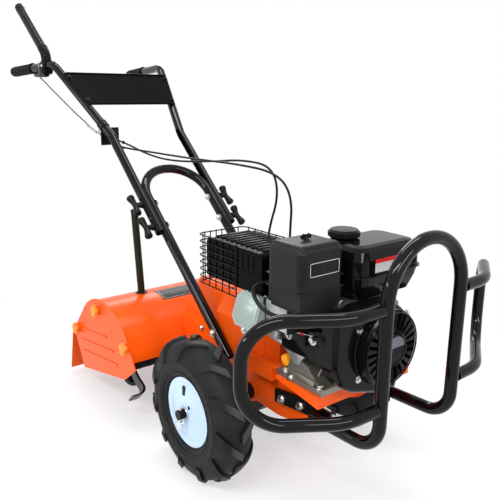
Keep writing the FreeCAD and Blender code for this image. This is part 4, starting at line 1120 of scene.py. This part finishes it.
@dataclass
class HandleTrim:
    """Grip ribs, console hems, clutch lever fittings, bolts and knob wings along the handles."""

    corner: Point = (-950.0, 203.0, 1031.0)
    tip: Point = (-1258.0, 236.0, 1012.0)
    bend: Point = (-686.0, 128.5, 803.7)
    grip_ribs: int = 17
    rib_start: float = 20.0
    rib_pitch: float = 6.6
    rib_size: Pair = (16.8, 1.1)
    grip_beads: Route = (
        (4.0, 17.0, 2.2), (10.0, 16.0, 2.2), (138.0, 16.6, 1.6), (146.0, 16.6, 1.6),
    )
    hem_shares: Pair = (0.385, 0.815)
    hem_lift: float = 18.5
    hem_inset: float = 2.0
    hem_radius: float = 2.8
    bolt_shares: Pair = (0.44, 0.76)
    bolt_lift: float = 17.6
    bolt_inset: float = 3.0
    lever_pivot: Point = (-1002.9, -208.9, 1066.9)
    lever_top: Point = (-1233.0, -208.9, 1236.0)
    sleeve_low: Route = ((25.0, 15.8, 1.4), (31.0, 15.8, 1.4))
    sleeve_high: Route = ((-12.0, 15.6, 1.2), (-20.0, 15.6, 1.2))
    boot_route: Route = (
        (-1002.6, -208.9, 1030), (-1002.6, -208.9, 1046), (-1005.5, -208.9, 1061),
        (-1013.5, -208.9, 1073.5), (-1024, -208.9, 1082.4), (-1030.3, -208.9, 1087),
    )
    boot_radius: float = 16.6
    boot_bead: Route = ((12.0, 16.6, 1.8),)
    clamp_screws: Route = ((-1017.9, -228.5, 1027.6), (-993.9, -228.5, 1027.6))
    cable_stop: Bar = ((-1078, -208, 993), (-1078, -208, 985), 4.5)
    housing: Boxes = (
        ((-1050, -211, 1003), (70, 22, 24), 4), ((-1012, -211, 1019), (46, 42, 40), 9),
    )
    leg_bolts: tuple[tuple[Point, float], ...] = (((-128, 124.9, 309), 13), ((-92, 124.9, 277), 11))
    inner_bolts: float = 96.0
    bracket_bolt: Point = (-720, -157, 818)
    clips: Route = ((-664, -101, 786), (-655, -108, 770))
    clip_run: Point = (1.0, 0.0, -0.05)
    clip_size: Pair = (4.0, 1.6)
    knob_spots: Outline = ((-474.0, 614.85), (-410.0, 557.83))
    knob_base: float = 143.4
    knob_middle: float = 164.6
    tube_run: Point = (-0.74663, 0.0, 0.66523)
    wing_rise: float = 0.16
    wing: Outline = (
        (0.0, 0.0), (8.6, 0.5), (8.6, 9.0), (9.6, 17.0), (11.6, 25.0), (12.1, 29.5), (11.0, 33.5), (7.2, 36.0),
        (0.0, 36.8),
    )
    knob_collar: Outline = (
        (0.0, 0.0), (11.2, 0.0), (11.2, 2.5), (8.4, 6.0), (7.8, 15.0), (0.0, 15.0),
    )

    def build(self) -> None:
        """Build the pieces."""
        for side in Side:
            self.grip(side)
        self.console()
        self.lever()
        self.tube_bolts()
        self.knob_wings()
        with shaped("cable_clips", KNOB_BLACK) as form:
            for middle in self.clips:
                form.ring(middle, Vector(self.clip_run), *self.clip_size, 16, 6)

    @staticmethod
    def beads(form: Shaper, start: Vector, along: Vector, rows: Sequence[Point], sides: int = 8) -> None:
        """Put beads round a tube.

        Args:
            form: The piece they belong to.
            start: Where their places are measured from.
            along: The tube's direction.
            rows: Each bead's place, radius and thickness.
            sides: The facets around a bead.
        """
        for place, radius, thick in rows:
            form.ring(start + along * place, along, radius, thick, 28, sides)

    def grip(self, side: Side) -> None:
        """Rib the outer half of one grip, and give it its collar and end flange."""
        corner, tip = side.spot(*self.corner), side.spot(*self.tip)
        middle, along = (corner + tip) / 2, (tip - corner).normalized()
        with shaped("grip_ribs_" + side.word, GRIP_RUBBER) as form:
            places = (self.rib_start + number * self.rib_pitch for number in range(self.grip_ribs))
            ribs = [(place, *self.rib_size) for place in places]
            self.beads(form, middle, along, ribs, 6)
            self.beads(form, middle, along, self.grip_beads)

    def console(self) -> None:
        """Hem the console panel's edges and bolt it to the tubes."""
        bend = Vector(self.bend)
        climb = Vector(self.corner) - bend
        normal = Vector((climb.z, 0, -climb.x)).normalized()
        with shaped("console_hems", CONSOLE) as form:
            for share in self.hem_shares:
                x, y, z = bend + climb * share + normal * self.hem_lift
                ends = [side.spot(x, y - self.hem_inset, z) for side in Side]
                form.rod(*ends, self.hem_radius, 12)
        with shaped("console_bolts", KNOB_BLACK) as form:
            for share in self.bolt_shares:
                x, y, z = bend + climb * share + normal * self.bolt_lift
                form.bolts([side.spot(x, y - self.bolt_inset, z) for side in Side], normal, 9)

    def lever(self) -> None:
        """Finish the clutch lever: sleeve ribs, the boot over its pivot, clamp screws and housing."""
        pivot, along = straight(self.lever_pivot, self.lever_top)
        with shaped("lever_sleeve_ribs", GRIP_RUBBER) as form:
            self.beads(form, pivot, along, self.sleeve_low)
            self.beads(form, Vector(self.lever_top), along, self.sleeve_high)
        with shaped("lever_boot", GRIP_RUBBER) as form:
            form.sweep(self.boot_route, self.boot_radius, 28)
            self.beads(form, Vector(self.boot_route[0]), UP, self.boot_bead)
        with shaped("lever_clamp_screws", STEEL) as form:
            for seat in self.clamp_screws:
                form.bolt(seat, RIGHTWARD, 8, washer=False)
            form.rod(*self.cable_stop, 16)
        with shaped("lever_housing", KNOB_BLACK) as form:
            form.blocks(*self.housing)

    def tube_bolts(self) -> None:
        """Put bolts through the tubes, the hoop's legs and the cable bracket."""
        with shaped("handle_leg_bolts", STEEL) as form:
            for side in Side:
                for seat, across in self.leg_bolts:
                    form.bolt(side.spot(*seat), side.out, across)
                form.bolts([side.spot(x, self.inner_bolts, z) for x, z in self.knob_spots], -side.out, 12)
            form.bolt(self.bracket_bolt, RIGHTWARD, 9)

    def knob_wings(self) -> None:
        """Flare the clamp knobs into wings, on a collar at each stem."""
        along = Vector(self.tube_run)
        with shaped("clamp_knob_wings", KNOB_BLACK) as form:
            for side in Side:
                for x, z in self.knob_spots:
                    form.lathe(self.knob_collar, side.spot(x, self.knob_base, z), side.out, 24)
                    for turn in (-1, 1):
                        reach = (along * turn + side.out * self.wing_rise).normalized()
                        form.lathe(self.wing, side.spot(x, self.knob_middle, z), reach, 24)


@dataclass
class FrameTrim:
    """Bolts of the bumper's plates and the engine's foot."""

    plate_bolts: Route = ((137.9, 104.3, 218.5), (205.2, 104.3, 229.0))
    foot_bolts: Outline = ((190, -136), (300, -136), (258, -120), (190, 54), (300, 54))
    foot_height: float = 324.2
    drain_plug: Point = (214.0, -145.2, 317.0)

    def build(self) -> None:
        """Build the pieces."""
        with shaped("bumper_plate_bolts", STEEL) as form:
            for side in Side:
                form.bolts([side.spot(*seat) for seat in self.plate_bolts], side.out, 13)
        with shaped("engine_foot_bolts", STEEL) as form:
            form.bolts([(x, y, self.foot_height) for x, y in self.foot_bolts], UP, 12)
            form.bolt(self.drain_plug, RIGHTWARD, 10)


@dataclass
class AirCleanerTrim:
    """The air cleaner's bands, domed crown, wing nut and blank framed label."""

    middle: Pair = (250.0, -144.0)
    bands: tuple[tuple[float, Point, float], ...] = (
        (549.5, (110.4, 126.4, 3.4), 1.2), (575.0, (108.8, 124.8, 2.0), 0.8),
    )
    crown_height: float = 637.0
    crown_size: Point = (96.0, 112.0, 19.0)
    crown_round: float = 9.2
    nut_low: float = 645.5
    nut_high: float = 654.0
    nut_radii: Pair = (7.5, 4.8)
    stud_high: float = 659.0
    stud_radius: float = 2.6
    wing_reach: float = 9.5
    wing_size: Point = (3.4, 12.0, 8.5)
    wing_tilt: float = -28.0
    label: Box = ((304.2, -139, 597), (0.6, 84, 30), 0.2)
    border_x: float = 304.5
    border_reach: Pair = (40.8, 14.0)
    border_line: Point = (0.5, 1.2, 0.6)

    def build(self) -> None:
        """Build the pieces."""
        x, y = self.middle
        with shaped("air_cleaner_bands", FILTER_PLASTIC) as form:
            form.blocks(*(((x, y, z), size, soften) for z, size, soften in self.bands))
            form.block((x, y, self.crown_height), self.crown_size, self.crown_round, rounds=6)
        with shaped("air_cleaner_wing_nut", KNOB_BLACK) as form:
            radius, tip = self.nut_radii
            form.rod((x, y, self.nut_low), (x, y, self.nut_high), radius, tip=tip)
            for sign in (-1, 1):
                turn = tilt(AHEAD, self.wing_tilt * sign)
                form.block((x, y + sign * self.wing_reach, self.nut_high + 1), self.wing_size, 1.4, turn)
            form.rod((x, y, self.nut_high - 1), (x, y, self.stud_high), self.stud_radius, 14)
        with shaped("air_cleaner_label", LABEL_BLACK) as form:
            form.blocks(self.label)
        with shaped("air_cleaner_label_border", LABEL_SILVER) as form:
            wide, high = self.border_reach
            thick, line, overlap = self.border_line
            _, y, z = self.label[0]
            for sign in (-1, 1):
                flat = (thick, 2 * (wide + overlap), line)
                upright = (thick, line, 2 * (high + overlap))
                form.block((self.border_x, y, z + sign * high), flat, 0)
                form.block((self.border_x, y + sign * wide, z), upright, 0)


@dataclass
class TankTrim:
    """The fuel tank's cap ribs and vent, its flange's screws, wire hook, blank label and bracket."""

    cap: Point = (220.0, 2.0, 626.3)
    cap_ribs: int = 30
    cap_radius: float = 35.5
    rib_span: Pair = (4.5, 14.8)
    rib_radius: float = 1.5
    crown: Outline = (
        (0.0, 20.8), (12.0, 20.6), (20.0, 19.8), (21.5, 20.3), (23.5, 20.3), (23.5, 19.0), (0.0, 19.0),
    )
    neck: Outline = ((24.0, -4.0), (30.0, -4.0), (31.0, -2.5), (30.0, -0.6), (24.0, -0.6), (24.0, -4.0))
    screws: Route = ((183, -30, 564.1), (183, 120, 564.1), (327, -30, 564.1), (327, 120, 564.1))
    hook: Route = (
        (303, -90, 500), (303, -90, 509), (303, -87, 514), (303, -81, 514), (303, -78, 509), (303, -78, 500),
    )
    hook_radius: float = 1.4
    label: Box = ((328.6, 24, 584), (0.8, 70, 30), 0.2)
    bracket: Boxes = (((320, -20, 504), (22, 120, 6), 1), ((320, -72, 497), (22, 20, 16), 2))

    def build(self) -> None:
        """Build the pieces."""
        top = Vector(self.cap)
        low, high = self.rib_span
        with shaped("tank_cap_ribs", KNOB_BLACK) as form:
            for x, y in circle_spots(self.cap_ribs, self.cap_radius):
                form.rod(top + Vector((x, y, low)), top + Vector((x, y, high)), self.rib_radius, 8)
            form.lathe(self.crown, top, UP)
            form.lathe(self.neck, top, UP)
        with shaped("tank_flange_screws", KNOB_BLACK) as form:
            form.bolts(self.screws, UP, 6)
        with shaped("tank_wire_hook", STEEL) as form:
            form.sweep(self.hook, self.hook_radius, 10)
        with shaped("tank_label", TANK_LABEL) as form:
            form.blocks(self.label)
        with shaped("tank_bracket", SHROUD_BLACK) as form:
            form.blocks(*self.bracket)


@dataclass
class MufflerTrim:
    """The muffler's louvres, on its top and all four sides, and its seams."""

    middle: Pair = (40.0, -110.0)
    pitch: Pair = (20.0, 24.0)
    top_height: float = 598.4
    top_size: Point = (9.5, 104.0, 6.2)
    top_tilt: float = 14.0
    side_height: float = 570.0
    side_reach: Pair = (110.2, 70.2)
    side_thick: float = 3.2
    side_width: Pair = (8.0, 10.0)
    side_high: float = 36.0
    seams: Boxes = (
        ((40, -110, 545), (222.6, 142.6, 4.5), 1.6), ((40, -110, 504), (221, 141, 6), 1.6),
    )

    def build(self) -> None:
        """Build the pieces."""
        x, y = self.middle
        wide, deep = self.side_reach
        with shaped("muffler_louvres", MUFFLER_BLACK) as form:
            for step in range(10):
                place = (x + (step - 4.5) * self.pitch[0], y, self.top_height)
                form.block(place, self.top_size, 1.2, tilt(-RIGHTWARD, self.top_tilt))
            for step in range(-4, 5):
                for sign in (-1, 1):
                    place = (x - 4 + step * self.pitch[0], y + sign * deep, self.side_height)
                    form.block(place, (self.side_width[0], self.side_thick, self.side_high), 1)
            for step in range(-2, 3):
                for sign in (1, -1):
                    place = (x + sign * wide, y + step * self.pitch[1], self.side_height)
                    form.block(place, (self.side_thick, self.side_width[1], self.side_high), 1)
        with shaped("muffler_seam", MUFFLER_BLACK) as form:
            form.blocks(*self.seams)


@dataclass
class HeadTrim:
    """The cylinder head's cover: rim, raised blank panel, bolts and lug, with the spark boot over it."""

    head: Datum = Datum((132.0, -98.0, 434.0), (0.0, -0.951, 0.309), (0.0, 0.309, 0.951))
    panel: Outline = (
        (-38, -20), (-23, -34), (23, -34), (38, -20), (38, 20), (23, 34), (-23, 34), (-38, 20),
    )
    rim: Outline = (
        (-47, -26), (-29, -43), (29, -43), (47, -26), (47, 26), (29, 43), (-29, 43), (-47, 26),
    )
    crest_shares: Pair = (0.66, 0.5)
    cover_bolts: Route = ((-36, -36, 93.6), (36, -36, 93.6), (36, 36, 93.6), (-36, 36, 93.6))
    lug: Outline = ((-34, -38), (-8, -38), (-10, -52), (-18, -60), (-27, -59), (-33, -50))
    lug_bolt: Point = (-21, -50, 90)
    boot: Route = (
        (156, -150, 534), (152, -196, 536), (158, -214, 524), (182, -219, 503), (214, -217, 490),
        (244, -204, 484), (262, -180, 486),
    )
    boot_radius: float = 4.6

    def build(self) -> None:
        """Build the pieces."""
        head, out = self.head, self.head.outward
        wide, high = self.crest_shares
        with shaped("valve_cover_panel", PALE_CAST) as form:
            head.plate(form, self.panel, 117.6, 2.2, 0.7)
            head.plate(form, self.rim, 88.6, 5.0, 1.0)
            head.plate(form, [(x * wide, y * high) for x, y in self.panel], 119.6, 1.0, 0.4)
        with shaped("valve_cover_bolts", STEEL) as form:
            form.bolts([head.at(*seat) for seat in self.cover_bolts], out, 9)
        with shaped("head_lug", CAST) as form:
            head.plate(form, self.lug, 84, 6, 1)
        with shaped("head_lug_bolt", STEEL) as form:
            form.bolt(head.at(*self.lug_bolt), out, 10)
        with shaped("spark_boot", JACKET) as form:
            form.sweep(self.boot, self.boot_radius, 14)


@dataclass
class BlowerTrim:
    """The control panel with its bolts, switch and levers, the blower's screws and the recoil starter's trim."""

    crank: float = 408.0
    panel_bolts: Route = ((211, -150.1, 423.2), (288, -150.1, 435.6))
    front_bolt: Point = (354.4, -79.6, 460.8)
    panel: Boxes = (((241, -141, 412), (112, 20, 54), 4), ((300, -138, 440), (60, 26, 40), 6))
    switch: Box = ((258, -152.6, 441), (10, 6, 7), 1.2)
    throttle: Box = ((305, -154, 444), (34, 6, 9), 2)
    throttle_tilt: float = -12.0
    throttle_stem: Bar = ((296, -152, 443), (296, -158, 443), 5)
    choke: Box = ((270, -156, 428), (8, 10, 20), 2)
    screw_angles: tuple[float, ...] = (40, 130, 220, 320)
    screw_circle: Point = (354.2, 97.0, 0.96)
    screw_shift: float = -2.0
    lip: Point = (354.0, 89.5, 2.0)
    rings: Route = ((380.2, 38.5, 1.8), (380.2, 81.0, 1.8))
    disc_ring: Point = (388.3, 33.5, 2.2)
    disc_x: float = 387.1
    disc: Outline = ((0.0, 3.2), (16.0, 3.0), (26.0, 2.2), (32.5, 0.8), (33.5, -3.0), (0.0, -3.0))
    pull: tuple[Point, Point] = ((372, -104, 480), (352, -62, 500))
    pull_grip: Point = (34.0, 8.5, 7.0)
    pull_neck: Pair = (46.0, 4.2)

    def build(self) -> None:
        """Build the pieces."""
        self.panel_trim()
        self.cover_trim()

    def panel_trim(self) -> None:
        """Build the control panel, its bolts, the switch and the levers."""
        with shaped("panel_bolts", STEEL) as form:
            form.bolts(self.panel_bolts, RIGHTWARD, 13)
            form.bolt(self.front_bolt, AHEAD, 11)
        with shaped("control_panel_body", SHROUD_BLACK) as form:
            form.blocks(*self.panel)
        with shaped("engine_switch", SWITCH_RED) as form:
            form.blocks(self.switch)
        with shaped("engine_levers", KNOB_BLACK) as form:
            form.block(*self.throttle, tilt(-RIGHTWARD, self.throttle_tilt))
            form.rod(*self.throttle_stem, 18)
            form.blocks(self.choke)

    def circle(self, form: Shaper, row: Point, steps: int = 56, sides: int = 8) -> None:
        """Put a bead round the crank's axis, given its X, radius and thickness."""
        x, radius, thick = row
        form.ring((x, 0, self.crank), AHEAD, radius, thick, steps, sides)

    def cover_trim(self) -> None:
        """Build the blower's screws, the starter's rims, ring and blank disc, and its pull handle."""
        with shaped("blower_screws", STEEL) as form:
            x, reach, squash = self.screw_circle
            for turn in map(math.radians, self.screw_angles):
                across = reach * math.cos(turn) + self.screw_shift
                form.bolt((x, across, self.crank + reach * math.sin(turn) * squash), AHEAD, 9)
        with shaped("recoil_seat_rim", SHROUD_BLACK) as form:
            self.circle(form, self.lip, 64)
        with shaped("recoil_ring", SHROUD_BLACK) as form:
            self.circle(form, self.disc_ring, sides=10)
        with shaped("recoil_disc", RECOIL_LABEL) as form:
            form.lathe(self.disc, Vector((self.disc_x, 0, self.crank)), AHEAD, 56)
        with shaped("recoil_ribs", SHROUD_BLACK) as form:
            for row in self.rings:
                self.circle(form, row)
        with shaped("starter_handle", KNOB_BLACK) as form:
            start, along = straight(*self.pull)
            length, radius, tip = self.pull_grip
            reach, neck = self.pull_neck
            form.rod(start, start + along * length, radius, tip=tip)
            form.rod(start + along * length, start + along * reach, neck, 14)


@dataclass
class CaseTrim:
    """Ribs and pads of the crankcase's foot, the oil filler's neck and plug ribs, and the fuel side's parts."""

    rib_places: tuple[float, ...] = (200, 226, 252, 278)
    rib_outline: Outline = ((-97, 326), (-138, 326), (-130, 336), (-100, 372), (-92, 380))
    rib_thick: float = 5.0
    pads: Outline = ((190, -136), (300, -136), (258, -120))
    pad_span: Pair = (318.0, 323.9)
    pad_radius: float = 10.5
    foot: Box = ((245, -131, 331), (88, 30, 14), 3)
    filler: Datum = Datum((182.0, -103.6, 350.0), (0.0, -0.9927, -0.121))
    neck_span: Pair = (-12.0, 8.0)
    neck_radius: float = 11.5
    plug_ribs: int = 14
    plug_radius: float = 12.6
    plug_span: Pair = (23.0, 31.0)
    plug_rib: float = 1.2
    casting: Outline = (
        (193, 390), (262, 394), (262, 386), (246, 372), (236, 356), (222, 354), (206, 370), (193, 380),
    )
    casting_span: Pair = (-118.0, -144.0)
    governor: Box = ((158, -148, 418), (50, 30, 26), 4)
    governor_tilt: float = 14.324
    governor_arm: Bar = ((150, -148, 402), (186, -140, 392), 7.5)
    rods: tuple[Bar, ...] = (
        ((140, -166, 424), (196, -158, 432), 1.5), ((196, -158, 432), (290, -152, 446), 1.3),
    )
    rod_bolt: Point = (160, -163.2, 418)
    filter_base: Box = ((268, -142, 491), (58, 94, 46), 6)
    filter_seat: Box = ((250, -144, 509), (92, 112, 12), 3)
    spacers: Boxes = (((173.6, -160, 476), (5, 66, 64), 1), ((252.5, -160, 476), (5, 66, 62), 1))

    def build(self) -> None:
        """Build the pieces."""
        self.crankcase()
        self.fuel_side()

    def crankcase(self) -> None:
        """Cast ribs on the sloping side of the case, its foot's pads, the filler neck and the plug's ribs."""
        with shaped("crankcase_ribs", GREY_METAL) as form:
            for x in self.rib_places:
                form.prism([(x, y, z) for y, z in self.rib_outline], AHEAD * self.rib_thick, 0.8)
            for x, y in self.pads:
                form.rod(*((x, y, z) for z in self.pad_span), self.pad_radius, 24)
            form.blocks(self.foot)
        with shaped("filler_neck", GREY_METAL) as form:
            form.rod(*(self.filler.at(0, 0, out) for out in self.neck_span), self.neck_radius, 24)
        with shaped("dipstick_ribs", DIP_ORANGE) as form:
            for spot in circle_spots(self.plug_ribs, self.plug_radius):
                form.rod(*(self.filler.at(*spot, out) for out in self.plug_span), self.plug_rib, 8)

    def fuel_side(self) -> None:
        """Governor casting, throttle rods, and the moulding and spacers between the head and the air cleaner."""
        near, far = self.casting_span
        with shaped("governor_casting", CAST) as form:
            form.prism([(x, near, z) for x, z in self.casting], RIGHTWARD * (near - far), 2.2)
            form.block(*self.governor, tilt(-RIGHTWARD, self.governor_tilt))
            form.rod(*self.governor_arm, 18)
        with shaped("throttle_rods", STEEL) as form:
            for start, end, radius in self.rods:
                form.rod(start, end, radius, 10)
            form.bolt(self.rod_bolt, RIGHTWARD, 8)
        with shaped("filter_base_lower", FILTER_BASE) as form:
            form.block(*self.filter_base, rounds=3)
            form.blocks(self.filter_seat)
        with shaped("carburettor_spacers", FILTER_BASE) as form:
            form.blocks(*self.spacers)


@dataclass
class RotorTrim:
    """Bolts that turn with the tine shaft."""

    shaft: Pair = (-470.0, 152.0)
    flanges: Pair = (88.0, 208.0)
    bolt_circle: float = 40.0
    bolt_out: float = 5.0

    def build(self) -> None:
        """Build the pieces."""
        x, z = self.shaft
        with shaped("tine_bolts", STEEL, Body.ROTOR) as form:
            for y in (side.value * flange for side in Side for flange in self.flanges):
                for ahead, up in circle_spots(4, self.bolt_circle, 45):
                    for face in Side:
                        seat = (x + ahead, y + face.value * self.bolt_out, z + up)
                        form.bolt(seat, face.out, 10, washer=False)


# ---------------------------------------------------------------------- studio


@dataclass(frozen=True)
class Lamp:
    """A soft rectangular lamp."""

    name: str
    place: Point
    wide: float
    high: float
    power: float

    def build(self, aim: Point) -> None:
        """Create the lamp and turn it to a point."""
        data = bpy.data.lights.new(self.name, "AREA")
        data.shape = "RECTANGLE"
        data.size = self.wide
        data.size_y = self.high
        data.energy = self.power
        away = Vector(self.place) - Vector(aim)
        linked(self.name, data).matrix_world = Shaper.facing(Vector(self.place), away)


@dataclass
class Studio:
    """A pale floor under soft lamps, with a white surround."""

    ambient: float = 0.55
    floor_size: float = 40.0
    whiten_reach: Pair = (0.40, 1.3)
    whiten_least: float = 0.48
    paper: tuple[Colour, Colour] = ((0.885, 0.91, 0.915), (0.915, 0.94, 0.945))
    paper_scale: float = 60.0
    white: Colour = (1.0, 1.0, 1.0)
    aim: Point = (0.0, 0.0, 0.45)
    lamps: tuple[Lamp, ...] = (
        Lamp("key_lamp", (1.6, -2.6, 3.4), wide=3.2, high=0.5, power=96.0),
        Lamp("front_lamp", (3.6, -0.2, 2.2), wide=2.4, high=0.4, power=44.0),
        Lamp("top_lamp", (-0.4, 0.4, 3.8), wide=2.8, high=0.6, power=58.0),
        Lamp("near_lamp", (-0.8, -3.2, 1.6), wide=1.8, high=0.3, power=24.0),
        Lamp("rear_lamp", (-2.6, 1.8, 2.4), wide=1.6, high=0.8, power=30.0),
    )

    def build(self) -> None:
        """Create the floor, the surround and the lamps."""
        self.floor()
        self.surround()
        for lamp in self.lamps:
            lamp.build(self.aim)

    def floor(self) -> None:
        """Lay the floor, which whitens away from the machine and keeps its shadow."""
        graph = Graph(bpy.data.materials.new("floor_sweep"))
        reach = graph.add("ShaderNodeVectorMath", {"operation": "LENGTH"}, {0: graph.place()}, result="Value")
        whiten = reach.ramp(*self.whiten_reach, self.whiten_least, 1.0) * self.seen(graph)
        paper = graph.mix(graph.noise(self.paper_scale).ramp(0.3, 0.7), *self.paper)
        matte = graph.add("ShaderNodeBsdfDiffuse", inputs={"Color": paper})
        glow = graph.add("ShaderNodeEmission", inputs={"Color": self.white, "Strength": 1.0})
        graph.show(graph.add("ShaderNodeMixShader", inputs={0: whiten, 1: matte, 2: glow}))
        form = bmesh.new()
        bmesh.ops.create_grid(form, x_segments=1, y_segments=1, size=self.floor_size / 2)
        mesh = bpy.data.meshes.new("floor")
        form.to_mesh(mesh)
        form.free()
        mesh.materials.append(graph.owner)
        linked("floor", mesh)

    @staticmethod
    def seen(graph: Graph) -> Value:
        """Give 1 for rays that show the surround: camera, glossy and transmission rays."""
        camera, glossy, through = (
            graph.add("ShaderNodeLightPath", result=ray)
            for ray in ("Is Camera Ray", "Is Glossy Ray", "Is Transmission Ray")
        )
        return camera.highest(glossy).highest(through)

    def surround(self) -> None:
        """Set the world: white where it is seen, and an even soft light elsewhere."""
        world = bpy.data.worlds.new("surround")
        bpy.context.scene.world = world
        graph = Graph(world, "ShaderNodeOutputWorld")
        strength = self.seen(graph).ramp(0, 1, self.ambient, 1.0)
        graph.show(graph.add("ShaderNodeBackground", inputs={"Color": self.white, "Strength": strength}))


def main() -> None:
    """Build everything in order."""
    logging.basicConfig(level=logging.INFO, format="%(message)s")
    bpy.context.scene.view_settings.view_transform = "Standard"
    Viewpoint().build()
    Cables().build()
    dress_nodes()
    for side in Side:
        WheelTrim(side).build()
    for trim in (
        HoodTrim, HandleTrim, FrameTrim, AirCleanerTrim, TankTrim, MufflerTrim, HeadTrim, BlowerTrim, CaseTrim,
        RotorTrim,
    ):
        trim().build()
    Studio().build()


if __name__ == "__main__":
    main()
